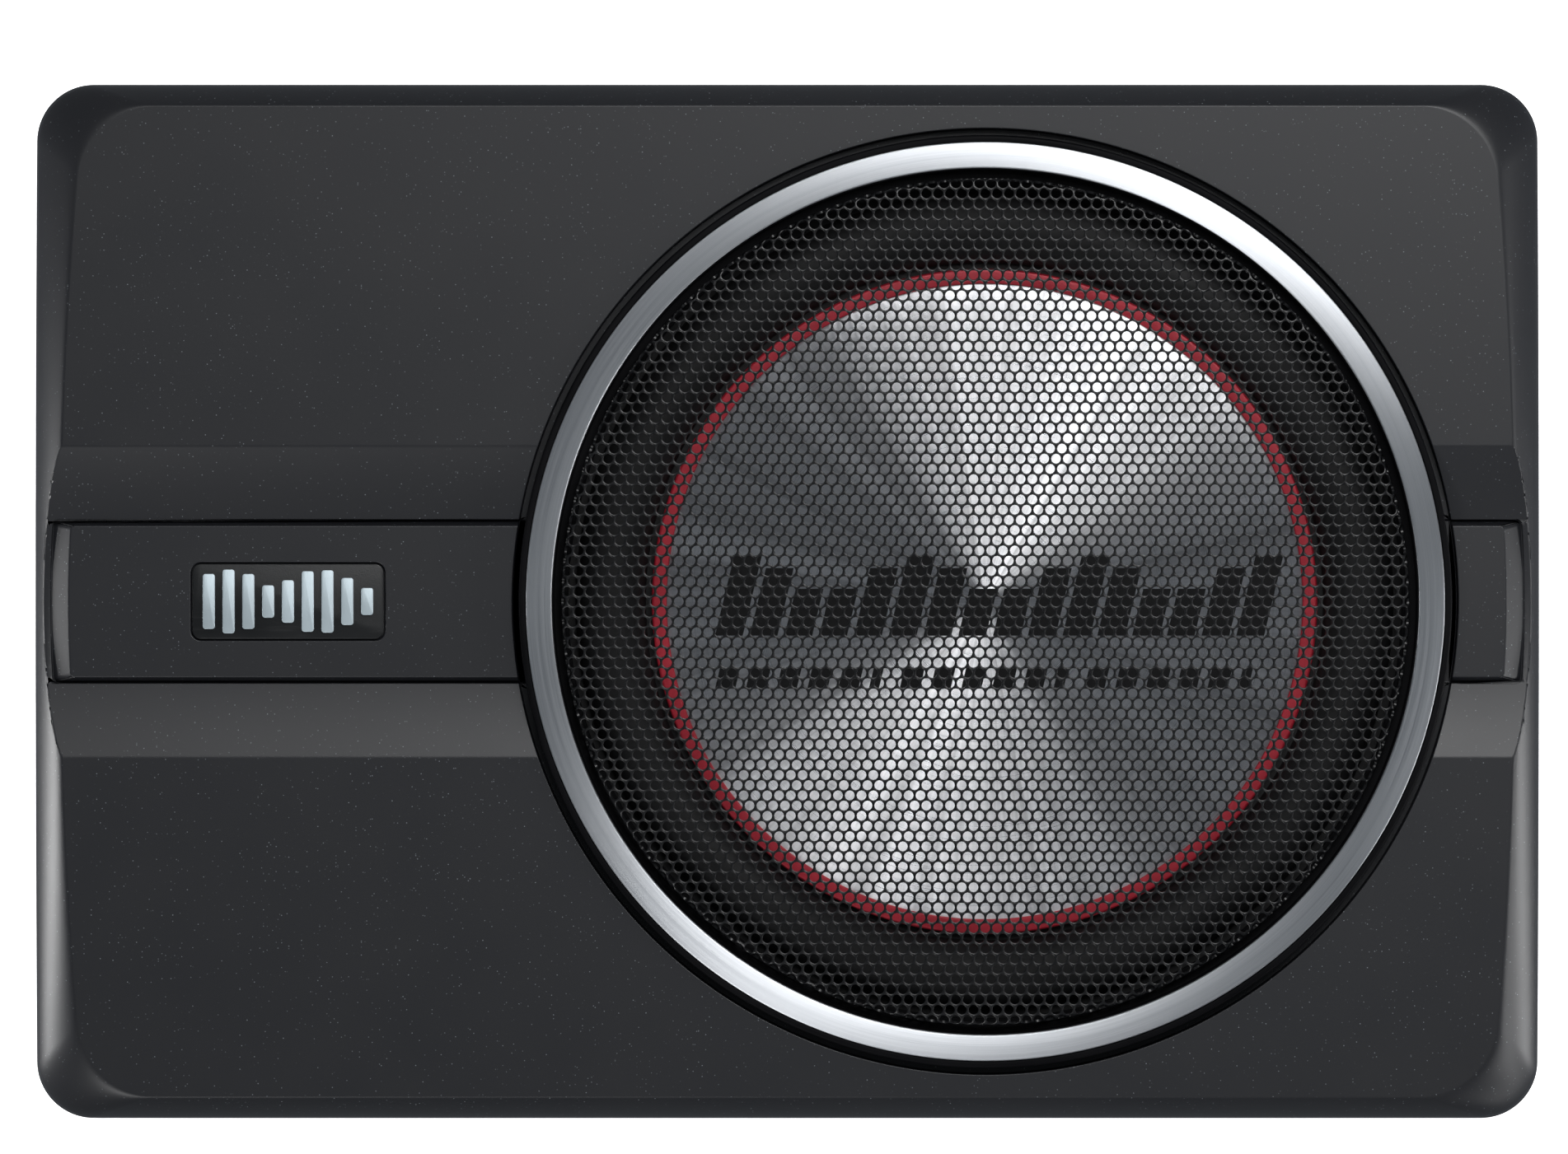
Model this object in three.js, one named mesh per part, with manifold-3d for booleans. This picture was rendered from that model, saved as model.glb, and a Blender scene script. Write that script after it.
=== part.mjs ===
// A powered car subwoofer: a low cast enclosure with a round grille over a shallow driver,
// and an amplifier behind a recessed connector bay at one end.
// Millimetres, +Z up out of the grille, +X along the long side.
// The origin is the middle of the footprint, on the surface that the rubber feet stand on.

import * as THREE from 'three';
import { mergeVertices } from 'three/addons/utils/BufferGeometryUtils.js';
import Module from 'manifold-3d';

const wasm = await Module();
wasm.setup();

// ---------- driving dimensions ----------

// overall size
const length = 320;
const width = 220;
const height = 73;

// clearances
const fitGap = 0.3; // round a piece that drops into another
const seatGap = 0.1; // between two faces that rest on each other

// stack under the enclosure
const footHeight = 3;
const footRadius = 9;
const footInsetX = 30;
const footInsetY = 24;
const baseThickness = 2;
const baseInset = 0.8;
const gasketThickness = 1;

// cast shell
const wall = 3;
const roofWall = 2.7;
const draft = 0.6; // how much the side walls lean in at the bottom
const cornerRadius = 12;
const faceCornerRadius = 15;
const sideBow = 0.4; // how far the short sides bow out at their middle
const faceBow = 5.1; // the same for the edge of the face
const sideBevel = 5.8; // width of the rounded bevel at the middle of the short sides
const endBevel = 5; // the same along the long sides
const bevelDrop = 10;

// hollow channel across the face, and the flat bar that stands in it
const channelHalfWidth = 33;
const channelDepth = 4.3;
const barHeight = 2.5;
const barHalfWidth = 16.1;
const barInset = 7.4; // from the short side of the enclosure to the end of the bar's top
const barEndSlope = 1.4; // how far the bevel at the bar's ends runs out for each millimetre it drops
const barSideSlope = 0.35; // the same along its sides
const barBow = 0.5;
const badgeLength = 41.3;
const badgeWidth = 16.6;
const badgeRadius = 2.2;
const badgeDepth = 1;
const badgeShift = -0.5; // from the middle of the stretch of bar that holds it
const emblemHeight = 0.5;

// rings round the grille, from the outside in
const faceMargin = 4.6; // face left between the bevel and the groove
const ringSideMargin = 11.8; // the same at the short side
const grooveWidth = 1.4;
const grooveExtraDepth = 0.2; // below the floor of the channel
const ringProud = 2; // how far the ring stands above the face
const bezelLip = 1.5;
const trimWidth = 5.5;
const trimThickness = 1.5;
const grilleGap = 2;
const grilleSheet = 1;
const grilleDrop = 0.8; // grille below the top of the ring
const grilleLedge = 1.2;
const grilleLedgeWidth = 3.2;

// driver
const flangeThickness = 1.2;
const flangeMargin = 1;
const flangeWidth = 6.8;
const collarDepth = 8; // depth of the casting's collar under the driver's flange
const collarMargin = 2.1;
const surroundDrop = 8.7; // surround's landing below the flange
const landingWidth = 4;
const surroundLip = 2.6;
const surroundThickness = 0.8;
const rollHeight = 7;
const rollWidth = 15;
const accentWidth = 2.4;
const accentHeight = 2.1;
const discThickness = 1.4;
const coneThickness = 0.9;
const coneDepth = 10.2;
const formerRadius = 24.9;
const formerWall = 0.5;
const coilThickness = 1.3;
const coilLength = 11.8;
const airGap = 0.7; // between the coil and the steel on each side of it
const topPlateThickness = 5;
const magnetThickness = 14.9;
const magnetRadius = 47;
const steelRadius = 44.5;
const yokeThickness = 5;
const spiderDrop = 15.6; // spider's landing below the surround's
const spiderOuter = 53;
const spiderLanding = 5;
const spiderThickness = 0.8;
const spiderWave = 1;
const windowCount = 6;
const windowShare = 0.62; // of the way round that is open
const motorDrop = 6.4; // front steel plate below the spider's landing
const magnetClearance = 3; // magnet's hole beyond the coil's gap

// screws: shank radius, head radius, head height, length under the head
const baseScrew = { shank: 1.7, head: 3.4, rise: 1.8, reach: 12 };
const driverScrew = { shank: 1.5, head: 2.8, rise: 1.8, reach: 8 };
const panelScrew = { shank: 1.3, head: 2.7, rise: 1.6, reach: 8 };
const driverScrewCount = 6;
const pillarRadius = 4.5;

// connector bay in the short side at -X
const bayDepth = 12; // from the outside of the enclosure to the panel
const bayHalfHeight = 12;
const bayRowZ = 29;
const bayGap = 3.2; // between neighbours on the panel
const bayWall = 2;
const bayCheek = 8;
const panelThickness = 2;
const socketBodyDepth = 12;
const socketWall = 1.6;
const knobRadius = 5.5;
const knobRise = 8;
const shaftRadius = 2;
const switchTravel = 3;
const switchStem = 3;

// what stands in the bay, from +Y to -Y, with the width each one takes
const bayRow = [
  { name: 'fuse', width: 16 },
  { name: 'power', width: 20 },
  { name: 'highLevel', width: 16 },
  { name: 'rcaRight', width: 11 },
  { name: 'rcaLeft', width: 11 },
  { name: 'gain', width: 12 },
  { name: 'crossover', width: 12 },
  { name: 'phase', width: 11 },
  { name: 'remote', width: 14 },
  { name: 'led', width: 5 },
];

// amplifier
const boardLength = 80;
const boardWidth = 150;
const boardThickness = 1.6;
const boardPostRadius = 3;
const boardPostInset = 6;
const boardDrop = 8.2; // top of the board below the middle of the row of sockets
const toroidSize = { ring: 14, wire: 5.6, x: 8, y: 34 };
const canSize = { radius: 8, height: 25, x: 14, y: [2, -20] };
const heatSize = {
  halfLength: 26, halfWidth: 5, base: 3, fin: 3, finTop: 24, fins: 6, pitch: 9.8, x: 4, y: -58,
};

// facets round a full turn
const largeRound = 40;
const mediumRound = 24;
const smallRound = 10;

// ---------- derived levels and radii ----------

const housingZ = footHeight + baseThickness + gasketThickness;
const faceZ = height - ringProud;
const channelFloorZ = faceZ - channelDepth;
const barTopZ = channelFloorZ + barHeight;
const cavityTopZ = channelFloorZ - roofWall;

const grooveRadius = width / 2 - endBevel - faceMargin;
const grooveFloorZ = channelFloorZ - grooveExtraDepth;
const bezelRadius = grooveRadius - grooveWidth;
const trimOuter = bezelRadius - bezelLip;
const trimInner = trimOuter - trimWidth;
const grilleRadius = trimInner - grilleGap;
const grilleTopZ = height - grilleDrop;
const bezelBottomZ = grooveFloorZ + seatGap;
const driverX = length / 2 - sideBevel - ringSideMargin - grooveRadius;

const flangeRadius = bezelRadius - flangeMargin;
const stepRadius = flangeRadius - flangeWidth; // outside of the driver frame's upright step
const openingRadius = stepRadius + fitGap + 0.1;
const flangeTopZ = grooveFloorZ - seatGap;
const flangeBottomZ = flangeTopZ - flangeThickness;
const ledgeZ = flangeBottomZ - gasketThickness - 2 * seatGap;
const screwCircle = (flangeRadius + stepRadius) / 2;
const landingZ = flangeTopZ - surroundDrop; // top of the surround's landing
const landingOuter = stepRadius - flangeThickness;
const landingInner = landingOuter - landingWidth;
const surroundOuter = landingOuter - fitGap;
const rollOuter = surroundOuter - surroundLip;
const rollInner = rollOuter - rollWidth;
const coneRimRadius = rollInner - 0.4;
const coneRimZ = landingZ;
const surroundLipZ = landingZ + seatGap;
const trimSeatZ = surroundLipZ + surroundThickness + seatGap;
const accentOuter = rollInner - 0.9;
const accentInner = accentOuter - accentWidth;
const discRadius = accentInner - fitGap / 2;
const coneNeckZ = coneRimZ - coneDepth;
const spiderZ = landingZ - spiderDrop;
const motorTopZ = spiderZ - motorDrop;
const poleRadius = formerRadius - formerWall - airGap;
const coilOuter = formerRadius + seatGap + coilThickness;
const gapRadius = coilOuter + airGap;
const magnetInner = gapRadius + magnetClearance;
const coilMiddleZ = motorTopZ - topPlateThickness / 2;

const outsideX = -length / 2;
const panelFaceX = outsideX + bayDepth;
const panelBackX = panelFaceX + panelThickness;
const rowWidth = bayRow.reduce((sum, item) => sum + item.width, 0) + bayGap * (bayRow.length + 1);
const bayHalfWidth = rowWidth / 2;
const boardTopZ = bayRowZ - boardDrop;
const boardX = panelBackX + 1;

// middle of each thing in the bay
const rowY = {};
let edgeY = bayHalfWidth - bayGap;
for (const item of bayRow) {
  rowY[item.name] = edgeY - item.width / 2;
  edgeY -= item.width + bayGap;
}

// ---------- helpers ----------

function solidFrom(geometry) {
  const bare = geometry.clone();
  bare.deleteAttribute('normal');
  bare.deleteAttribute('uv');
  const merged = mergeVertices(bare, 1e-4);
  const index = merged.index.array;
  const points = merged.attributes.position.array;
  const corner = (k) => new THREE.Vector3().fromArray(points, 3 * k);
  const kept = [];
  let volume = 0;
  for (let i = 0; i < index.length; i += 3) {
    const [a, b, c] = [index[i], index[i + 1], index[i + 2]];
    if (a !== b && b !== c && c !== a) {
      kept.push([a, b, c]);
      volume += corner(a).dot(corner(b).cross(corner(c)));
    }
  }
  const facing = volume < 0 ? kept.map(([a, b, c]) => [a, c, b]) : kept;
  return new wasm.Manifold(new wasm.Mesh({
    numProp: 3,
    vertProperties: points,
    triVerts: Uint32Array.from(facing.flat()),
  }));
}

function geometryFrom(solid) {
  const mesh = solid.getMesh();
  const geometry = new THREE.BufferGeometry();
  geometry.setAttribute('position', new THREE.BufferAttribute(mesh.vertProperties, 3));
  geometry.setIndex(new THREE.BufferAttribute(mesh.triVerts, 1));
  geometry.computeVertexNormals();
  return geometry;
}

// a box between two corners
function block(low, high) {
  const size = high.map((value, k) => value - low[k]);
  const middle = high.map((value, k) => (value + low[k]) / 2);
  return solidFrom(new THREE.BoxGeometry(...size).translate(...middle));
}

// a closed (radius, z) outline turned about the Z axis
function turned(profile, segments) {
  const points = profile.map(([radius, z]) => new THREE.Vector2(radius, z));
  points.push(points[0].clone());
  return solidFrom(new THREE.LatheGeometry(points, segments).rotateX(Math.PI / 2));
}

// an upright round bar
function post(radius, lowZ, highZ, segments = smallRound) {
  const bar = new THREE.CylinderGeometry(radius, radius, highZ - lowZ, segments);
  return solidFrom(bar.rotateX(Math.PI / 2).translate(0, 0, (lowZ + highZ) / 2));
}

// a round bar along X
function rod(radius, lowX, highX, segments = smallRound) {
  const bar = new THREE.CylinderGeometry(radius, radius, highX - lowX, segments);
  return solidFrom(bar.rotateZ(Math.PI / 2).translate((lowX + highX) / 2, 0, 0));
}

// a flat shape given thickness along Z
function slab(shape, lowZ, thickness, curveSegments = 6) {
  const options = { depth: thickness, bevelEnabled: false, curveSegments };
  return solidFrom(new THREE.ExtrudeGeometry(shape, options).translate(0, 0, lowZ));
}

// a skin over a stack of rings with the same number of points, closed at both ends
function lofted(rings) {
  const count = rings[0].length;
  const points = rings.flat();
  const faces = [];
  for (let level = 0; level + 1 < rings.length; level += 1) {
    for (let k = 0; k < count; k += 1) {
      const a = level * count + k;
      const b = level * count + ((k + 1) % count);
      faces.push([a, b, b + count], [a, b + count, a + count]);
    }
  }
  const last = (rings.length - 1) * count;
  for (let k = 1; k + 1 < count; k += 1) {
    faces.push([0, k + 1, k], [last, last + k, last + k + 1]);
  }
  const geometry = new THREE.BufferGeometry();
  geometry.setAttribute('position', new THREE.Float32BufferAttribute(points.flat(), 3));
  geometry.setIndex(faces.flat());
  return solidFrom(geometry);
}

// a rounded rectangle whose short sides bow out, as points going round at one height
function bowedOutline(halfX, halfY, radius, bow, z) {
  const cornerSteps = 6;
  const sideSteps = 8;
  const points = [];
  for (let corner = 0; corner < 4; corner += 1) {
    const signX = corner === 0 || corner === 3 ? 1 : -1;
    const signY = corner < 2 ? 1 : -1;
    for (let k = 0; k <= cornerSteps; k += 1) {
      const angle = ((corner + k / cornerSteps) * Math.PI) / 2;
      points.push([
        signX * (halfX - radius) + radius * Math.cos(angle),
        signY * (halfY - radius) + radius * Math.sin(angle),
      ]);
    }
    if (corner % 2 === 1) {
      for (let k = 1; k < sideSteps; k += 1) {
        points.push([signX * halfX, signY * (halfY - radius) * (1 - (2 * k) / sideSteps)]);
      }
    }
  }
  return points.map(([x, y]) => [x * (1 - (bow / halfX) * (y / halfY) ** 2), y, z]);
}

// the enclosure's own outline, drawn in by an inset
function shellRing(inset, z) {
  const halfX = length / 2 - inset;
  const halfY = width / 2 - inset;
  return bowedOutline(halfX, halfY, Math.max(cornerRadius - inset, 1), sideBow, z);
}

function roundedRectangle(sizeX, sizeY, radius) {
  const shape = new THREE.Shape();
  const x = sizeX / 2 - radius;
  const y = sizeY / 2 - radius;
  shape.absarc(x, y, radius, 0, Math.PI / 2);
  shape.absarc(-x, y, radius, Math.PI / 2, Math.PI);
  shape.absarc(-x, -y, radius, Math.PI, 1.5 * Math.PI);
  shape.absarc(x, -y, radius, 1.5 * Math.PI, 2 * Math.PI);
  return shape;
}

// a pan-head screw standing head down on z = 0, with its shank going up
function screwSolid({ shank, head, rise, reach }) {
  return turned([
    [0, -rise], [head * 0.7, -rise], [head, -rise * 0.45], [head, 0],
    [shank, 0], [shank, reach - shank], [0, reach],
  ], smallRound);
}

const finishes = {
  castShell: [0x34363b, 0.45, 0.35],
  blackPlastic: [0x101113, 0.5, 0],
  blackSteel: [0x1b1d20, 0.45, 0.6],
  zincSteel: [0x9a9c9f, 0.35, 0.9],
  brushedAluminium: [0xb9bcc0, 0.3, 1],
  silverDisc: [0xa7abb2, 0.3, 1],
  redTrim: [0xa01c2c, 0.35, 0.5],
  rubber: [0x0e0e0f, 0.8, 0],
  paper: [0x151516, 0.8, 0],
  copper: [0xb4633a, 0.35, 1],
  cloth: [0xa8853f, 0.85, 0],
  ferrite: [0x1d1d1f, 0.6, 0.2],
  foam: [0x1a1a1b, 0.95, 0],
  board: [0x1f5a35, 0.5, 0],
  gold: [0xc9a24a, 0.3, 1],
  fuseAmber: [0xc98a1e, 0.3, 0],
  led: [0xb02020, 0.2, 0],
  satinSilver: [0xa9b4ba, 0.35, 0.8],
};

function piece(name, solid, finish, parent) {
  const [color, roughness, metalness] = finishes[finish];
  const material = new THREE.MeshStandardMaterial({ color, roughness, metalness });
  const mesh = new THREE.Mesh(geometryFrom(solid), material);
  mesh.name = name;
  parent.add(mesh);
  return mesh;
}

const subwoofer = new THREE.Group();

// ---------- enclosure ----------

// how far down the bevel has dropped, from 0 at the face to 1 at the side wall
function bevelShape(across) {
  return 1 - (1 - across ** 1.15) ** 0.627;
}

function shellBlank() {
  const rings = [shellRing(draft, housingZ)];
  for (const across of [1, 0.93, 0.78, 0.5, 0.22, 0.05, 0]) {
    rings.push(bowedOutline(
      length / 2 - sideBevel * (1 - across),
      width / 2 - endBevel * (1 - across),
      THREE.MathUtils.lerp(faceCornerRadius, cornerRadius, across),
      THREE.MathUtils.lerp(faceBow, sideBow, across),
      faceZ - bevelDrop * bevelShape(across),
    ));
  }
  return lofted(rings);
}

// the long hollow: a circular arc across the face, run out past both ends
function channelCutter() {
  const arcRadius = (channelHalfWidth ** 2 + channelDepth ** 2) / (2 * channelDepth);
  const halfAngle = Math.asin(channelHalfWidth / arcRadius);
  const section = new THREE.Shape();
  section.moveTo(-channelHalfWidth, faceZ);
  const down = -Math.PI / 2;
  section.absarc(0, channelFloorZ + arcRadius, arcRadius, down - halfAngle, down + halfAngle);
  section.lineTo(channelHalfWidth, faceZ + 5);
  section.lineTo(-channelHalfWidth, faceZ + 5);
  const run = length + 20;
  const cutter = new THREE.ExtrudeGeometry(section, { depth: run, bevelEnabled: false, curveSegments: 10 });
  const turn = new THREE.Matrix4().makeBasis(
    new THREE.Vector3(0, 1, 0), new THREE.Vector3(0, 0, 1), new THREE.Vector3(1, 0, 0),
  );
  return solidFrom(cutter.applyMatrix4(turn).translate(-run / 2, 0, 0));
}

function channelBar() {
  const depth = barHeight + 0.5;
  const endRun = depth * barEndSlope;
  const sideRun = depth * barSideSlope;
  const halfX = length / 2 - barInset;
  return lofted([
    bowedOutline(halfX + endRun, barHalfWidth + sideRun, 1, barBow, barTopZ - depth),
    bowedOutline(halfX, barHalfWidth, 1, barBow, barTopZ),
  ]);
}

const badgeX = (-length / 2 + barInset + driverX - grooveRadius) / 2 + badgeShift;
const pillarX = length / 2 - cornerRadius;
const pillarY = width / 2 - cornerRadius;
const pillarPlaces = [
  [-pillarX, -pillarY], [0, -(width / 2 - wall - pillarRadius)], [pillarX, -pillarY],
  [pillarX, pillarY], [0, width / 2 - wall - pillarRadius], [-pillarX, pillarY],
];
const boardPosts = [1, -1].flatMap((side) => (
  [socketBodyDepth + boardPostInset, boardLength - boardPostInset].map(
    (along) => [boardX + along, side * (boardWidth / 2 - boardPostInset)],
  )
));
const panelScrewPlaces = [1, -1].flatMap((side) => [1, -1].map(
  (level) => [side * (bayHalfWidth + bayCheek / 2), bayRowZ + level * (bayHalfHeight - 4)],
));
const driverScrewAngles = Array.from(
  { length: driverScrewCount },
  (_, k) => ((k + 0.5) * 2 * Math.PI) / driverScrewCount,
);

// a place on the circle of the driver's screws, seen from the driver's axis
function onScrewCircle(angle, z = 0) {
  return [screwCircle * Math.cos(angle), screwCircle * Math.sin(angle), z];
}

function housingSolid() {
  let shell = shellBlank().subtract(channelCutter());
  shell = shell.add(channelBar().intersect(shellBlank()));

  const cavity = lofted([
    shellRing(wall + draft, housingZ - 1),
    shellRing(wall, cavityTopZ),
  ]);
  shell = shell.subtract(cavity);

  // collar that the driver screws to, and the pillars for the base and the board
  const collar = post(grooveRadius + collarMargin, ledgeZ - collarDepth, cavityTopZ + 1, largeRound);
  shell = shell.add(collar.translate(driverX, 0, 0));
  for (const [x, y] of pillarPlaces) {
    shell = shell.add(post(pillarRadius, housingZ, cavityTopZ + 1).translate(x, y, 0));
  }
  for (const [x, y] of boardPosts) {
    shell = shell.add(post(boardPostRadius, boardTopZ + seatGap, cavityTopZ + 1).translate(x, y, 0));
  }

  // tunnel round the connector bay
  const tunnel = block(
    [outsideX + wall / 2, -bayHalfWidth - bayCheek, bayRowZ - bayHalfHeight - bayWall],
    [panelFaceX - seatGap, bayHalfWidth + bayCheek, bayRowZ + bayHalfHeight + bayWall],
  );
  shell = shell.add(tunnel);
  const bay = block(
    [outsideX - 5, -bayHalfWidth, bayRowZ - bayHalfHeight],
    [panelFaceX + 5, bayHalfWidth, bayRowZ + bayHalfHeight],
  );
  shell = shell.subtract(bay);

  // stepped round opening: groove, seat of the driver's flange, hole
  const opening = [
    [grooveRadius, grooveFloorZ], [flangeRadius + fitGap, ledgeZ], [openingRadius, housingZ - 1],
  ];
  for (const [radius, lowZ] of opening) {
    shell = shell.subtract(post(radius, lowZ, height, largeRound).translate(driverX, 0, 0));
  }

  // pocket of the badge
  const pocket = slab(roundedRectangle(badgeLength, badgeWidth, badgeRadius), barTopZ - badgeDepth, 5);
  shell = shell.subtract(pocket.translate(badgeX, 0, 0));

  // holes that take the screws
  for (const [x, y] of pillarPlaces) {
    const depth = baseScrew.reach - baseThickness + 1;
    const bore = post(baseScrew.shank + fitGap, housingZ - 1, housingZ + depth);
    shell = shell.subtract(bore.translate(x, y, 0));
  }
  for (const angle of driverScrewAngles) {
    const hole = post(driverScrew.shank + fitGap, ledgeZ - driverScrew.reach + 1, height, 12);
    shell = shell.subtract(hole.translate(...onScrewCircle(angle)).translate(driverX, 0, 0));
  }
  for (const [y, z] of panelScrewPlaces) {
    const hole = rod(panelScrew.shank + fitGap, panelFaceX - panelScrew.reach, panelFaceX + 1, 12);
    shell = shell.subtract(hole.translate(0, y, z));
  }
  return shell;
}

piece('top_housing', housingSolid(), 'castShell', subwoofer);

let basePlate = lofted([
  shellRing(draft + baseInset, footHeight),
  shellRing(draft + baseInset, footHeight + baseThickness),
]);
for (const [x, y] of pillarPlaces) {
  const hole = post(baseScrew.shank + fitGap, footHeight - 1, housingZ);
  basePlate = basePlate.subtract(hole.translate(x, y, 0));
}
piece('base_plate', basePlate, 'blackSteel', subwoofer);

const gasketLow = footHeight + baseThickness + seatGap;
const gasketHigh = housingZ - seatGap;
const baseGasket = lofted([shellRing(draft + 1, gasketLow), shellRing(draft + 1, gasketHigh)]).subtract(
  lofted([shellRing(draft + wall, gasketLow - 1), shellRing(draft + wall, gasketHigh + 1)]),
);
piece('base_gasket', baseGasket, 'foam', subwoofer);

pillarPlaces.forEach(([x, y], k) => {
  const screw = piece(`base_screw_${k + 1}`, screwSolid(baseScrew), 'zincSteel', subwoofer);
  screw.position.set(x, y, footHeight - seatGap);
});

const footProfile = [
  [0, 0],
  [footRadius - 1.2, 0],
  [footRadius, 1.2],
  [footRadius, footHeight - seatGap],
  [0, footHeight - seatGap],
];
[[-1, -1], [1, -1], [1, 1], [-1, 1]].forEach(([signX, signY], k) => {
  const foot = piece(`rubber_foot_${k + 1}`, turned(footProfile, 18), 'rubber', subwoofer);
  foot.position.set(signX * (length / 2 - footInsetX), signY * (width / 2 - footInsetY), 0);
});

// ---------- badge: a dark plate with a row of level bars standing on it ----------

const badge = new THREE.Group();
badge.position.set(badgeX, 0, barTopZ - badgeDepth + seatGap);
subwoofer.add(badge);

const badgePlateShape = roundedRectangle(
  badgeLength - 2 * fitGap, badgeWidth - 2 * fitGap, badgeRadius - fitGap,
);
const badgePlateTop = badgeDepth - 2 * seatGap;
piece('badge_plate', slab(badgePlateShape, 0, badgePlateTop), 'blackPlastic', badge);

function emblemSolid() {
  const barCount = 9;
  const pitch = 4.2;
  const thick = 2.6;
  const spine = 0.9;
  const shortest = 2.6; // half height of the shortest bar
  const swing = 4.2;
  const reach = pitch * (barCount - 1) / 2 + thick / 2;
  const lowZ = badgePlateTop + seatGap;
  const highZ = lowZ + emblemHeight;
  let emblem = block([-reach, -spine / 2, lowZ], [reach, spine / 2, highZ]);
  for (let k = 0; k < barCount; k += 1) {
    const x = (k - (barCount - 1) / 2) * pitch;
    const half = shortest + swing * Math.abs(Math.cos(((k - 1) * Math.PI) / 4.6));
    const bar = slab(roundedRectangle(thick, 2 * half, 0.7), lowZ, emblemHeight, 1);
    emblem = emblem.add(bar.translate(x, 0, 0));
  }
  return emblem;
}
piece('badge_emblem', emblemSolid(), 'satinSilver', badge);

// ---------- rings and grille, turned about the driver's axis ----------

const driver = new THREE.Group();
driver.position.set(driverX, 0, 0);
subwoofer.add(driver);

function bezelSolid() {
  const ledgeInner = trimInner - fitGap - grilleLedgeWidth;
  const ledgeTop = bezelBottomZ + grilleLedge;
  const seatZ = height - trimThickness - seatGap;
  let bezel = turned([
    [ledgeInner, bezelBottomZ], [bezelRadius, bezelBottomZ], [bezelRadius, height - 0.6],
    [bezelRadius - 0.5, height], [trimOuter + fitGap, height], [trimOuter + fitGap, seatZ],
    [trimInner - fitGap, seatZ], [trimInner - fitGap, ledgeTop], [ledgeInner, ledgeTop],
  ], largeRound);
  // pockets over the driver's screw heads
  for (const angle of driverScrewAngles) {
    const top = flangeTopZ + driverScrew.rise + 0.5;
    const pocket = post(driverScrew.head + fitGap, bezelBottomZ - 1, top, 12);
    bezel = bezel.subtract(pocket.translate(...onScrewCircle(angle)));
  }
  return bezel;
}
piece('bezel_ring', bezelSolid(), 'blackPlastic', driver);

piece('trim_ring', turned([
  [trimInner, height - trimThickness], [trimOuter, height - trimThickness],
  [trimOuter, height - 0.3], [trimOuter - 0.3, height],
  [trimInner + 0.3, height], [trimInner, height - 0.3],
], largeRound), 'brushedAluminium', driver);

// a pan: the flat sheet with its edge turned down on to the bezel's ledge
piece('grille', turned([
  [0, grilleTopZ - grilleSheet], [grilleRadius - grilleSheet, grilleTopZ - grilleSheet],
  [grilleRadius - grilleSheet, bezelBottomZ + grilleLedge + seatGap],
  [grilleRadius, bezelBottomZ + grilleLedge + seatGap], [grilleRadius, grilleTopZ - 0.7],
  [grilleRadius - 0.7, grilleTopZ], [0, grilleTopZ],
], largeRound), 'blackSteel', driver);

// ---------- driver: frame, gasket and screws ----------

function frameSolid() {
  const sheet = flangeThickness;
  const baseRadius = spiderOuter + 1;
  const shelfInner = spiderOuter - spiderLanding;
  const footTop = motorTopZ + seatGap + sheet;
  const rim = landingInner - 1;
  let frame = turned([
    [flangeRadius, flangeTopZ], [landingOuter, flangeTopZ], [landingOuter, landingZ],
    [landingInner, landingZ], [baseRadius - 1, spiderZ], [shelfInner, spiderZ],
    [shelfInner, footTop], [gapRadius + 2, footTop], [gapRadius + 2, footTop - sheet],
    [shelfInner + sheet, footTop - sheet], [shelfInner + sheet, spiderZ - sheet],
    [baseRadius, spiderZ - sheet], [rim + sheet, landingZ - sheet], [stepRadius, landingZ - sheet],
    [stepRadius, flangeBottomZ], [flangeRadius, flangeBottomZ],
  ], largeRound);
  // windows between the arms
  const windowShape = new THREE.Shape();
  const halfAngle = (Math.PI / windowCount) * windowShare;
  windowShape.absarc(0, 0, rim - 3, -halfAngle, halfAngle);
  windowShape.absarc(0, 0, baseRadius + 4, halfAngle, -halfAngle, true);
  for (let k = 0; k < windowCount; k += 1) {
    const opening = slab(windowShape, spiderZ - sheet, landingZ - spiderZ, 3);
    frame = frame.subtract(opening.rotate([0, 0, (k * 360) / windowCount]));
  }
  for (const angle of driverScrewAngles) {
    const hole = post(driverScrew.shank + fitGap, flangeBottomZ - 1, flangeTopZ + 1, 12);
    frame = frame.subtract(hole.translate(...onScrewCircle(angle)));
  }
  return frame;
}
piece('driver_frame', frameSolid(), 'blackSteel', driver);

function driverGasketSolid() {
  const low = ledgeZ + seatGap;
  const high = flangeBottomZ - seatGap;
  let gasket = turned([
    [openingRadius, low], [flangeRadius, low], [flangeRadius, high], [openingRadius, high],
  ], largeRound);
  for (const angle of driverScrewAngles) {
    const hole = post(driverScrew.shank + fitGap, low - 1, high + 1, 12);
    gasket = gasket.subtract(hole.translate(...onScrewCircle(angle)));
  }
  return gasket;
}
piece('driver_gasket', driverGasketSolid(), 'foam', driver);

driverScrewAngles.forEach((angle, k) => {
  const screw = piece(`driver_screw_${k + 1}`, screwSolid(driverScrew), 'blackSteel', driver);
  screw.position.set(...onScrewCircle(angle, flangeTopZ + seatGap));
  screw.rotation.x = Math.PI;
});

// ---------- moving parts of the driver ----------

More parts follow.
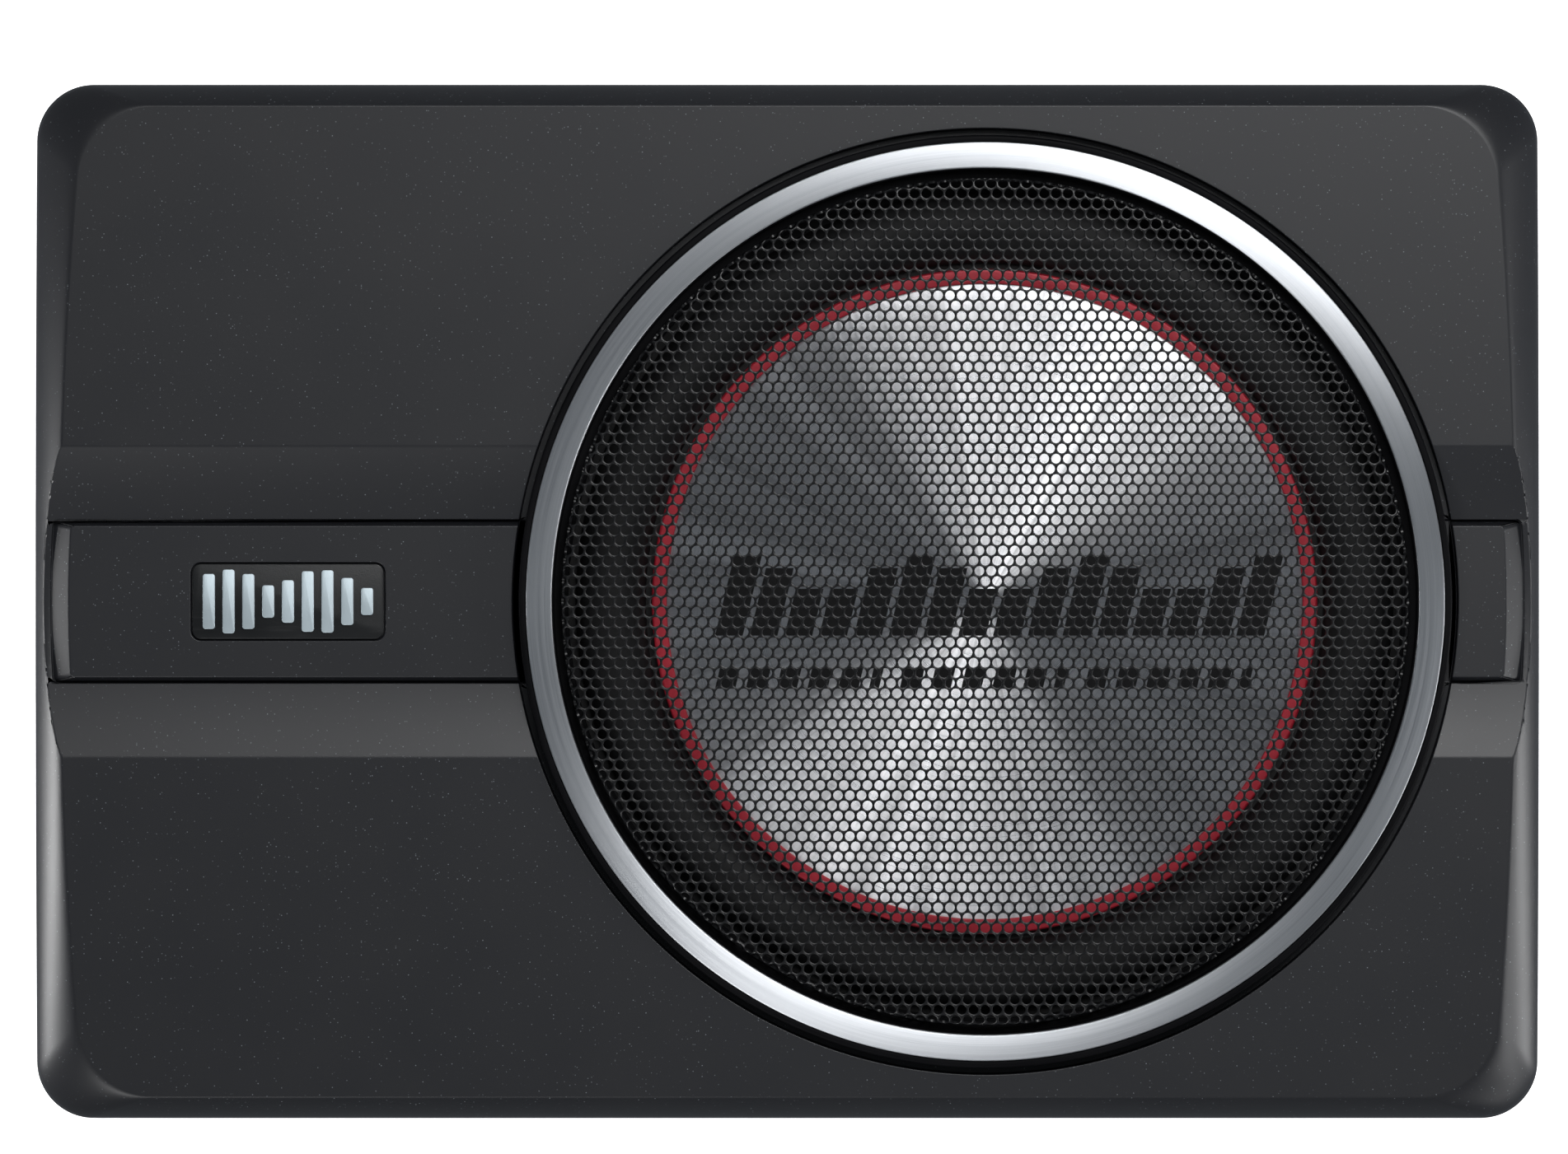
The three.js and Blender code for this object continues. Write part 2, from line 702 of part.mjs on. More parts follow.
// half roll between two flat lips
function surroundSolid() {
  const steps = 6;
  const lowZ = surroundLipZ;
  const middle = (rollInner + rollOuter) / 2;
  const arc = (radius, rise, z) => Array.from({ length: steps + 1 }, (_, k) => {
    const angle = Math.PI * (1 - k / steps);
    return [middle + radius * Math.cos(angle), z + rise * Math.sin(angle)];
  });
  const halfRoll = rollWidth / 2;
  const top = arc(halfRoll, rollHeight, lowZ + surroundThickness);
  const under = arc(halfRoll - surroundThickness, rollHeight - surroundThickness, lowZ + surroundThickness);
  return turned([
    [accentInner - 0.9, lowZ], [rollInner + surroundThickness, lowZ], ...under,
    [rollOuter - surroundThickness, lowZ], [surroundOuter, lowZ],
    [surroundOuter, lowZ + surroundThickness], ...top.reverse(),
    [accentInner - 0.9, lowZ + surroundThickness],
  ], largeRound);
}
piece('surround', surroundSolid(), 'rubber', driver);

const neckRadius = formerRadius + fitGap;
piece('cone', turned([
  [neckRadius, coneNeckZ], [neckRadius + 1.2, coneNeckZ - coneThickness],
  [coneRimRadius - 5, coneRimZ - coneThickness], [coneRimRadius, coneRimZ - coneThickness],
  [coneRimRadius, coneRimZ], [coneRimRadius - 5.2, coneRimZ], [neckRadius, coneNeckZ + 0.6],
], mediumRound), 'paper', driver);

piece('diaphragm_disc', turned([
  [0, trimSeatZ], [discRadius, trimSeatZ], [discRadius, trimSeatZ + discThickness - 0.3],
  [discRadius - 0.3, trimSeatZ + discThickness], [0, trimSeatZ + discThickness],
], largeRound), 'silverDisc', driver);

piece('accent_ring', turned([
  [accentInner, trimSeatZ], [accentOuter, trimSeatZ], [accentOuter, trimSeatZ + accentHeight * 0.55],
  [accentOuter - 0.7, trimSeatZ + accentHeight], [accentInner + 0.7, trimSeatZ + accentHeight],
  [accentInner, trimSeatZ + accentHeight * 0.55],
], largeRound), 'redTrim', driver);

const coilLowZ = coilMiddleZ - coilLength / 2;
piece('voice_coil_former', turned([
  [formerRadius - formerWall, coilLowZ], [formerRadius, coilLowZ],
  [formerRadius, coneNeckZ + 1.4], [formerRadius - formerWall, coneNeckZ + 1.4],
], mediumRound), 'brushedAluminium', driver);

piece('voice_coil', turned([
  [formerRadius + seatGap, coilLowZ], [coilOuter, coilLowZ],
  [coilOuter, coilLowZ + coilLength], [formerRadius + seatGap, coilLowZ + coilLength],
], mediumRound), 'copper', driver);

// corrugated ring from the former to the shelf of the frame
function spiderSolid() {
  const steps = 8;
  const waves = 2;
  const inner = neckRadius + 1;
  const outer = spiderOuter - spiderLanding - 0.5;
  const lowZ = spiderZ + seatGap;
  const line = Array.from({ length: steps + 1 }, (_, k) => {
    const share = k / steps;
    return [inner + (outer - inner) * share, lowZ + spiderWave * Math.sin(share * waves * 2 * Math.PI)];
  });
  const lower = [[neckRadius, lowZ], ...line, [spiderOuter, lowZ]];
  const upper = lower.map(([radius, z]) => [radius, z + spiderThickness]).reverse();
  return turned([...lower, ...upper], mediumRound);
}
piece('spider', spiderSolid(), 'cloth', driver);

// ---------- motor ----------

const topPlateLowZ = motorTopZ - topPlateThickness;
piece('top_plate', turned([
  [gapRadius, topPlateLowZ], [steelRadius, topPlateLowZ], [steelRadius, motorTopZ], [gapRadius, motorTopZ],
], mediumRound), 'zincSteel', driver);

const magnetHighZ = topPlateLowZ - seatGap;
const magnetLowZ = magnetHighZ - magnetThickness;
piece('magnet', turned([
  [magnetInner, magnetLowZ], [magnetRadius - 1, magnetLowZ], [magnetRadius, magnetLowZ + 1],
  [magnetRadius, magnetHighZ - 1], [magnetRadius - 1, magnetHighZ], [magnetInner, magnetHighZ],
], mediumRound), 'ferrite', driver);

const yokeTopZ = magnetLowZ - seatGap;
piece('pole_yoke', turned([
  [0, yokeTopZ - yokeThickness], [steelRadius - 1.5, yokeTopZ - yokeThickness],
  [steelRadius, yokeTopZ - yokeThickness + 1.5], [steelRadius, yokeTopZ], [poleRadius, yokeTopZ],
  [poleRadius, motorTopZ], [0, motorTopZ],
], mediumRound), 'zincSteel', driver);

// ---------- connector bay: the panel, and what stands in it ----------

const bay = new THREE.Group();
bay.position.set(panelFaceX, 0, bayRowZ);
subwoofer.add(bay);

// sockets with a nose that comes out of the panel and a cavity that a plug goes into
const sockets = [
  { node: 'power_socket', row: 'power', tall: 12, nose: 8, cavity: 12 },
  { node: 'high_level_socket', row: 'highLevel', tall: 10, nose: 8, cavity: 12 },
  { node: 'remote_socket', row: 'remote', tall: 12, nose: 2, cavity: 12 },
  { node: 'fuse_holder', row: 'fuse', tall: 8.4, nose: 5, cavity: 9 },
];
const rcaRadius = 4.15;
const rcaRise = 9;
const rcaBore = 1.7;
const ledRadius = 1.5;
const bodyLow = boardTopZ + fitGap - bayRowZ; // bodies stand just above the board
const widthOf = (row) => bayRow.find((item) => item.name === row).width;

function panelSolid() {
  const halfY = bayHalfWidth + bayCheek - 0.5;
  const halfZ = bayHalfHeight + bayWall - 0.5;
  let panel = block([0, -halfY, -halfZ], [panelThickness, halfY, halfZ]);
  for (const { row, tall } of sockets) {
    const halfWide = widthOf(row) / 2 + fitGap;
    const halfTall = tall / 2 + fitGap;
    const hole = block(
      [-1, rowY[row] - halfWide, -halfTall], [panelThickness + 1, rowY[row] + halfWide, halfTall],
    );
    panel = panel.subtract(hole);
  }
  const rounds = [
    ['rcaRight', rcaRadius], ['rcaLeft', rcaRadius], ['gain', shaftRadius + fitGap],
    ['crossover', shaftRadius + fitGap], ['led', ledRadius],
  ];
  for (const [row, radius] of rounds) {
    panel = panel.subtract(rod(radius + fitGap, -1, panelThickness + 1, 18).translate(0, rowY[row], 0));
  }
  const slotHalf = (switchStem + switchTravel) / 2 + fitGap;
  const slot = block(
    [-1, rowY.phase - slotHalf, -switchStem / 2 - fitGap],
    [panelThickness + 1, rowY.phase + slotHalf, switchStem / 2 + fitGap],
  );
  panel = panel.subtract(slot);
  for (const [y, z] of panelScrewPlaces) {
    const hole = rod(panelScrew.shank + fitGap, -1, panelThickness + 1, 12);
    panel = panel.subtract(hole.translate(0, y, z - bayRowZ));
  }
  return panel;
}
piece('connector_panel', panelSolid(), 'blackPlastic', bay);

panelScrewPlaces.forEach(([y, z], k) => {
  const screw = piece(`panel_screw_${k + 1}`, screwSolid(panelScrew), 'zincSteel', bay);
  screw.position.set(panelThickness + seatGap, y, z - bayRowZ);
  screw.rotation.y = -Math.PI / 2;
});

const bodyFront = panelThickness + seatGap;
for (const { node, row, tall, nose, cavity } of sockets) {
  const halfWide = widthOf(row) / 2;
  let socket = block([-nose, -halfWide, -tall / 2], [bodyFront + 1, halfWide, tall / 2]);
  socket = socket.add(block(
    [bodyFront, -halfWide - 0.6, bodyLow], [bodyFront + socketBodyDepth, halfWide + 0.6, tall / 2 + 1],
  ));
  socket = socket.subtract(block(
    [-nose - 1, -halfWide + socketWall, -tall / 2 + socketWall],
    [-nose + cavity, halfWide - socketWall, tall / 2 - socketWall],
  ));
  piece(node, socket, 'blackPlastic', bay).position.y = rowY[row];
}

// blade fuse in its holder
const fuseHalfWide = widthOf('fuse') / 2 - socketWall - fitGap;
const fuseHalfTall = sockets[3].tall / 2 - socketWall - fitGap;
piece('fuse', block([-8, -fuseHalfWide, -fuseHalfTall], [3, fuseHalfWide, fuseHalfTall]), 'fuseAmber', bay)
  .position.y = rowY.fuse;

for (const [node, row] of [['rca_jack_right', 'rcaRight'], ['rca_jack_left', 'rcaLeft']]) {
  let jack = rod(rcaRadius, -rcaRise, bodyFront + 1, 18);
  jack = jack.add(block([bodyFront, -5.4, bodyLow], [bodyFront + socketBodyDepth, 5.4, 6]));
  jack = jack.subtract(rod(rcaBore, -rcaRise - 1, bodyFront + 6));
  piece(node, jack, 'gold', bay).position.y = rowY[row];
}

for (const control of ['gain', 'crossover']) {
  const pot = block([bodyFront, -5.4, bodyLow], [bodyFront + 8, 5.4, 5.4])
    .subtract(rod(shaftRadius + fitGap, bodyFront - 1, bodyFront + 5));
  piece(`${control}_pot`, pot, 'zincSteel', bay).position.y = rowY[control];

  // fluted knob with a pointer slot, on its own shaft
  let knob = rod(knobRadius, -knobRise, -0.6, 18).add(rod(shaftRadius, -1, bodyFront + 4));
  knob = knob.subtract(block([-knobRise - 1, -0.5, 1.2], [-knobRise + 0.8, 0.5, knobRadius + 1]));
  for (let k = 0; k < 9; k += 1) {
    const flute = rod(0.5, -knobRise - 1, -2, 6).translate(0, 0, knobRadius + 0.1);
    knob = knob.subtract(flute.rotate([(k + 0.5) * 40, 0, 0]));
  }
  piece(`${control}_knob`, knob, 'blackPlastic', bay).position.y = rowY[control];
}

// slide switch, its stem at one end of the slot
const switchBody = block([bodyFront, -5.2, bodyLow], [bodyFront + 6, 5.2, 3.4]).subtract(block(
  [bodyFront - 1, -(switchStem + switchTravel) / 2 - fitGap, -switchStem / 2 - fitGap],
  [bodyFront + 3, (switchStem + switchTravel) / 2 + fitGap, switchStem / 2 + fitGap],
));
piece('phase_switch_body', switchBody, 'zincSteel', bay).position.y = rowY.phase;
const stemHalf = switchStem / 2;
piece('phase_switch_slider', block([-2.5, -stemHalf, -stemHalf], [bodyFront + 2.5, stemHalf, stemHalf]),
  'blackPlastic', bay).position.y = rowY.phase + switchTravel / 2;

const ledLegs = block([bodyFront, -2, bodyLow], [bodyFront + 4, 2, 2.2]);
const ledSolid = rod(ledRadius, -0.8, bodyFront + 1).add(ledLegs);
piece('power_led', ledSolid, 'led', bay).position.y = rowY.led;

// ---------- amplifier ----------

const amplifier = new THREE.Group();
amplifier.position.set(boardX + boardLength / 2, 0, boardTopZ);
subwoofer.add(amplifier);

piece('amp_board', block(
  [-boardLength / 2, -boardWidth / 2, -boardThickness], [boardLength / 2, boardWidth / 2, 0],
), 'board', amplifier);

const coilRing = new THREE.TorusGeometry(toroidSize.ring, toroidSize.wire, 8, 20);
const toroid = piece('toroid_coil', solidFrom(coilRing), 'copper', amplifier);
toroid.position.set(toroidSize.x, toroidSize.y, toroidSize.wire + seatGap);

canSize.y.forEach((y, k) => {
  const { radius, height: tall, x } = canSize;
  const can = turned([[0, 0], [radius, 0], [radius, tall - 1], [radius - 1, tall], [0, tall]], 20);
  piece(`capacitor_${k + 1}`, can, 'blackPlastic', amplifier).position.set(x, y, seatGap);
});

let heatBar = block(
  [-heatSize.halfLength, -heatSize.halfWidth, 0],
  [heatSize.halfLength, heatSize.halfWidth, heatSize.base],
);
for (let k = 0; k < heatSize.fins; k += 1) {
  const x = -heatSize.halfLength + k * heatSize.pitch;
  heatBar = heatBar.add(block(
    [x, -heatSize.halfWidth, heatSize.base - 1], [x + heatSize.fin, heatSize.halfWidth, heatSize.finTop],
  ));
}
piece('heat_spreader', heatBar, 'brushedAluminium', amplifier)
  .position.set(heatSize.x, heatSize.y, seatGap);

export default subwoofer;
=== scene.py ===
import math

import bmesh
import bpy
import numpy as np
from mathutils import Matrix, Vector


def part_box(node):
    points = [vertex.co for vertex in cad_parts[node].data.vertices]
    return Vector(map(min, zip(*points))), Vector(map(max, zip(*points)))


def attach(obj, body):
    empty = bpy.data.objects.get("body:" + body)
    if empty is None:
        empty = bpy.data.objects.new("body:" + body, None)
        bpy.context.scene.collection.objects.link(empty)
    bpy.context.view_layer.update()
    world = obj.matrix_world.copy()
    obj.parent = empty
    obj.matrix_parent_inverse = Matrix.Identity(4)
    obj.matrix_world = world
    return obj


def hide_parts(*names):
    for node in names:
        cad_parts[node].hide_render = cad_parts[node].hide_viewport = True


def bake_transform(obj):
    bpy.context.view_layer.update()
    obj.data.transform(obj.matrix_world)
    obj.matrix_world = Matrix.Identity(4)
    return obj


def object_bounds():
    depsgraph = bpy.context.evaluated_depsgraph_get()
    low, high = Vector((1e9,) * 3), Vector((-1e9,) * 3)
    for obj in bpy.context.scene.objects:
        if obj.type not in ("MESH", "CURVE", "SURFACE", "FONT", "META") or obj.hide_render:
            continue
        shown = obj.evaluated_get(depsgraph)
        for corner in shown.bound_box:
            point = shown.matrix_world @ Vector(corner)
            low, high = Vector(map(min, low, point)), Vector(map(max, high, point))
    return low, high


# Powered car subwoofer: the looks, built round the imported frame.
# Sizes in the dictionaries are millimetres, as on the real object; meshes are made in metres.
# Everything shares the frame's axes: +X along the long side, +Z up out of the grille.

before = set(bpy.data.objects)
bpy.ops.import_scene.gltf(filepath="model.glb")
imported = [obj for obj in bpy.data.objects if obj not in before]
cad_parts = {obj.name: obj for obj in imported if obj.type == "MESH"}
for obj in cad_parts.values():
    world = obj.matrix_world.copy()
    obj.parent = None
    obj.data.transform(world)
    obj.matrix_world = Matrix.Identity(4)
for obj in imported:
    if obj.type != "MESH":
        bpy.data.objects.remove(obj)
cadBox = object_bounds()
mm = 0.001


def boxMm(node):
    low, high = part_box(node)
    return low / mm, high / mm


def middleOf(node):
    low, high = boxMm(node)
    return (low + high) / 2


driverX = round(middleOf("trim_ring").x, 3)
topZ = round(cadBox[1][2] / mm, 3)
print("frame loaded, driver axis at", driverX)


view = {
    "distance": 3.3,  # metres above the floor
    "frameWidth": 0.333,  # metres across the view at the height of the face
    "aim": (-0.0007, 0.0052),
    "focusZ": 0.068,
}


def makeCamera():
    data = bpy.data.cameras.new("camera")
    data.sensor_width = 36
    data.lens = data.sensor_width * (view["distance"] - view["focusZ"]) / view["frameWidth"]
    data.clip_end = 20
    camera = bpy.data.objects.new("camera", data)
    camera.location = (view["aim"][0], view["aim"][1], view["distance"])
    bpy.context.scene.collection.objects.link(camera)
    bpy.context.scene.camera = camera


# far soft boxes: azimuth from +X, height angle and distance from the object, size and strength
farBoxes = {
    "backHigh": {"azimuth": 70.5, "height": 64.7, "distance": 0.995, "size": (0.5, 0.35), "watts": 4.2},
    "rightHigh": {"azimuth": 52.7, "height": 55.9, "distance": 0.942, "size": (0.45, 0.35), "watts": 1.9},
    "leftHigh": {"azimuth": 120, "height": 55, "distance": 1.5, "size": (0.5, 0.4), "watts": 0.7},
    "rightLow": {"azimuth": 345, "height": 22, "distance": 1.2, "size": (0.7, 0.3), "watts": 4.5},
    "frontLow": {"azimuth": 320, "height": 8, "distance": 1.2, "size": (0.7, 0.3), "watts": 1.9},
    "frontHigh": {"azimuth": 255, "height": 55, "distance": 1.5, "size": (0.5, 0.3), "watts": 1.4},
    "frontLeft": {"azimuth": 240, "height": 40, "distance": 1.5, "size": (0.5, 0.3), "watts": 5.5},
}
# small ones standing close to the short sides, for the bevels, and so low that the face stays dark:
# their middle, size and strength
nearBoxes = {
    "leftBevel": {"place": (-0.36, -0.052, 0.036), "size": (0.13, 0.066), "watts": 0.57},
    "barEnd": {"place": (-0.38, 0, 0.125), "size": (0.05, 0.05), "watts": 0.1},
    "rightBevel": {"place": (0.38, -0.075, 0.036), "size": (0.13, 0.066), "watts": 0.36},
}


def addBox(name, box, place, facing):
    data = bpy.data.lights.new(name, "AREA")
    data.shape = "RECTANGLE"
    data.size, data.size_y = box["size"]
    data.energy = box["watts"]
    light = bpy.data.objects.new(name, data)
    light.location = place
    light.rotation_euler = facing.to_track_quat("Z", "Y").to_euler()
    light.visible_camera = False
    bpy.context.scene.collection.objects.link(light)


def makeLights():
    for name, box in farBoxes.items():
        azimuth, height = math.radians(box["azimuth"]), math.radians(box["height"])
        level = math.cos(height)
        away = Vector((math.cos(azimuth) * level, math.sin(azimuth) * level, math.sin(height)))
        addBox(name, box, away * box["distance"], away)
    for name, box in nearBoxes.items():
        addBox(name, box, box["place"], Vector((box["place"][0], 0, 0)))
    world = bpy.data.worlds.new("studio")
    world.use_nodes = True
    backdrop = world.node_tree.nodes["Background"]
    backdrop.inputs["Color"].default_value = (0.84, 0.92, 1.0, 1)
    backdrop.inputs["Strength"].default_value = 0.18
    bpy.context.scene.world = world
    bpy.context.scene.view_settings.view_transform = "Standard"


def newPiece(name, mesh, body, material, replaced=()):
    piece = bpy.data.objects.new(name, mesh)
    bpy.context.scene.collection.objects.link(piece)
    mesh.materials.clear()
    mesh.materials.append(material)
    if body:
        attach(piece, body)
    if replaced:
        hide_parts(*replaced)
    return piece


# soft shading with creases kept where faces meet at more than the angle
def shade(mesh, angle=30):
    mesh.shade_smooth()
    mesh.set_sharp_from_angle(angle=math.radians(angle))
    return mesh


def meshFrom(name, points, faces, angle=30):
    mesh = bpy.data.meshes.new(name)
    mesh.from_pydata([tuple(c * mm for c in p) for p in points], [], faces)
    work = bmesh.new()
    work.from_mesh(mesh)
    bmesh.ops.remove_doubles(work, verts=work.verts, dist=1e-6)
    bmesh.ops.recalc_face_normals(work, faces=work.faces)
    work.to_mesh(mesh)
    work.free()
    return shade(mesh, angle)


# a closed outline of (a, b, radius) corners, with each radius turned into an arc
def filleted(corners, steps=5):
    path = []
    for k, (a, b, radius) in enumerate(corners):
        here = Vector((a, b))
        if radius == 0:
            path.append(here)
            continue
        back = (Vector(corners[k - 1][:2]) - here).normalized()
        ahead = (Vector(corners[(k + 1) % len(corners)][:2]) - here).normalized()
        half = back.angle(ahead) / 2
        centre = here + (back + ahead).normalized() * (radius / math.sin(half))
        start = here + back * (radius / math.tan(half)) - centre
        end = here + ahead * (radius / math.tan(half)) - centre
        first = math.atan2(start.y, start.x)
        sweep = (math.atan2(end.y, end.x) - first + math.pi) % (2 * math.pi) - math.pi
        for s in range(steps + 1):
            angle = first + sweep * s / steps
            path.append(centre + radius * Vector((math.cos(angle), math.sin(angle))))
    return path


# a (radius, z) outline turned about an upright axis through (x, y)
def turnedMesh(name, outline, centre=(0, 0), segments=192, closed=True, angle=30):
    count = len(outline)
    points, faces = [], []
    for s in range(segments):
        turn = 2 * math.pi * s / segments
        for radius, z in outline:
            points.append((centre[0] + radius * math.cos(turn), centre[1] + radius * math.sin(turn), z))
    for s in range(segments):
        here, there = s * count, ((s + 1) % segments) * count
        for k in range(count if closed else count - 1):
            follow = (k + 1) % count
            faces.append((here + k, there + k, there + follow, here + follow))
    return meshFrom(name, points, faces, angle)


# rings of points skinned together, closed at both ends
def loftedMesh(name, rings, angle=30):
    count = len(rings[0])
    faces = [tuple(reversed(range(count)))]
    for level in range(len(rings) - 1):
        for k in range(count):
            a, b = level * count + k, level * count + (k + 1) % count
            faces.append((a, b, b + count, a + count))
    faces.append(tuple(range((len(rings) - 1) * count, len(rings) * count)))
    return meshFrom(name, [p for ring in rings for p in ring], faces, angle)


# rings of points skinned into a closed hoop: the last ring joins the first
def hoopMesh(name, rings, angle=30):
    count = len(rings[0])
    faces = []
    for level in range(len(rings)):
        follow = (level + 1) % len(rings)
        for k in range(count):
            after = (k + 1) % count
            faces.append((level * count + k, level * count + after, follow * count + after,
                          follow * count + k))
    return meshFrom(name, [p for ring in rings for p in ring], faces, angle)


def roundedOutline(centre, sizeX, sizeY, radius, steps=6):
    x, y = sizeX / 2, sizeY / 2
    corners = [(x, y, radius), (-x, y, radius), (-x, -y, radius), (x, -y, radius)]
    return [(centre[0] + p.x, centre[1] + p.y) for p in filleted(corners, steps)]


# a flat outline given thickness, its top and bottom edges rounded over
def slabMesh(name, outline, lowZ, highZ, edge=0.0, lowEdge=0.0, steps=3, angle=30):
    normals = outlineNormals(outline)
    turns = [math.pi / 2 * s / steps for s in range(steps + 1)]
    levels = [(0, lowZ)]
    if lowEdge:
        levels = [(lowEdge * (1 - math.sin(t)), lowZ + lowEdge * (1 - math.cos(t))) for t in turns]
    if edge:
        levels += [(edge * (1 - math.cos(t)), highZ - edge * (1 - math.sin(t))) for t in turns]
    else:
        levels.append((0, highZ))
    rings = [[(p[0] - n.x * inset, p[1] - n.y * inset, z) for p, n in zip(outline, normals)]
             for inset, z in levels]
    return loftedMesh(name, rings, angle)


def outlineNormals(outline):
    normals = []
    for k in range(len(outline)):
        back, ahead = Vector(outline[k - 1]), Vector(outline[(k + 1) % len(outline)])
        along = (ahead - back).normalized()
        normals.append(Vector((along.y, -along.x)))
    return normals


def cut(mesh, cutters, operation="DIFFERENCE"):
    host = bpy.data.objects.new("host", mesh)
    bpy.context.scene.collection.objects.link(host)
    tools = []
    for cutter in cutters:
        tool = bpy.data.objects.new("tool", cutter)
        bpy.context.scene.collection.objects.link(tool)
        step = host.modifiers.new("cut", "BOOLEAN")
        step.operation = operation
        step.solver = "EXACT"
        step.object = tool
        tools.append(tool)
    result = applied(host)
    for tool in tools:
        cutter = tool.data
        bpy.data.objects.remove(tool)
        bpy.data.meshes.remove(cutter)
    return result


# the mesh with its modifiers worked in; the helper object is taken away
def applied(host):
    depsgraph = bpy.context.evaluated_depsgraph_get()
    result = bpy.data.meshes.new_from_object(host.evaluated_get(depsgraph))
    old = host.data
    bpy.data.objects.remove(host)
    bpy.data.meshes.remove(old)
    return result


def joined(name, meshes, angle=None):
    work = bmesh.new()
    for mesh in meshes:
        work.from_mesh(mesh)
        bpy.data.meshes.remove(mesh)
    mesh = bpy.data.meshes.new(name)
    work.to_mesh(mesh)
    work.free()
    if angle:
        shade(mesh, angle)
    return mesh


# rounds over the edges that meet at more than the angle, and weights the shading to the large faces
def softenEdges(mesh, width, angle=20, segments=2, merge=0.01):
    work = bmesh.new()
    work.from_mesh(mesh)
    bmesh.ops.remove_doubles(work, verts=work.verts, dist=merge * mm)
    bmesh.ops.dissolve_degenerate(work, edges=work.edges, dist=merge * mm)
    work.to_mesh(mesh)
    work.free()
    mesh.shade_smooth()
    host = bpy.data.objects.new("soften", mesh)
    bpy.context.scene.collection.objects.link(host)
    bevel = host.modifiers.new("bevel", "BEVEL")
    bevel.limit_method = "ANGLE"
    bevel.angle_limit = math.radians(angle)
    bevel.width = width * mm
    bevel.segments = segments
    bevel.use_clamp_overlap = False
    weighted = host.modifiers.new("weighted", "WEIGHTED_NORMAL")
    weighted.keep_sharp = False
    weighted.weight = 60
    return applied(host)


def newGroup(name, inputs, outputs):
    group = bpy.data.node_groups.new(name, "ShaderNodeTree")
    for socketName, kind, value in inputs:
        socket = group.interface.new_socket(socketName, in_out="INPUT", socket_type=kind)
        socket.default_value = value
    for socketName, kind in outputs:
        group.interface.new_socket(socketName, in_out="OUTPUT", socket_type=kind)
    nodes = group.nodes
    return group, nodes.new("NodeGroupInput"), nodes.new("NodeGroupOutput")


def addNode(tree, kind, inputs=None, **settings):
    node = tree.nodes.new(kind)
    for key, value in settings.items():
        setattr(node, key, value)
    for key, value in (inputs or {}).items():
        if isinstance(value, bpy.types.NodeSocket):
            tree.links.new(value, node.inputs[key])
        else:
            node.inputs[key].default_value = value
    return node


def mathNode(tree, operation, a, b=None, c=None, clamp=False):
    inputs = {0: a}
    if b is not None:
        inputs[1] = b
    if c is not None:
        inputs[2] = c
    return addNode(tree, "ShaderNodeMath", inputs, operation=operation, use_clamp=clamp).outputs[0]


# bright flakes sunk in paint: a mask of sparse specks and a faint height
def makeFlakeGroup():
    group, given, out = newGroup(
        "paintFlake",
        [("Size", "NodeSocketFloat", 1.0), ("Amount", "NodeSocketFloat", 0.1)],
        [("Specks", "NodeSocketFloat"), ("Height", "NodeSocketFloat"), ("Mottle", "NodeSocketFloat")],
    )
    place = addNode(group, "ShaderNodeTexCoord").outputs["Object"]
    scale = mathNode(group, "DIVIDE", 2600.0, given.outputs["Size"])
    cells = addNode(group, "ShaderNodeTexVoronoi", {"Vector": place, "Scale": scale}, feature="F1")
    # only the cells with a high random value hold a flake, and only near the cell's middle
    split = addNode(group, "ShaderNodeSeparateColor", {0: cells.outputs["Color"]})
    chosen = mathNode(group, "LESS_THAN", split.outputs[0], given.outputs["Amount"])
    near = addNode(group, "ShaderNodeMapRange",
                   {"Value": cells.outputs["Distance"], 1: 0.42, 2: 0.1, 3: 0.0, 4: 1.0})
    specks = mathNode(group, "MULTIPLY", chosen, near.outputs[0])
    brightness = mathNode(group, "MULTIPLY", specks, split.outputs[1])
    grain = addNode(group, "ShaderNodeTexNoise", {"Vector": place, "Scale": 1500.0, "Detail": 3.0})
    cloud = addNode(group, "ShaderNodeTexNoise", {"Vector": place, "Scale": 45.0, "Detail": 4.0})
    group.links.new(brightness, out.inputs["Specks"])
    group.links.new(grain.outputs[0], out.inputs["Height"])
    group.links.new(cloud.outputs[0], out.inputs["Mottle"])
    return group


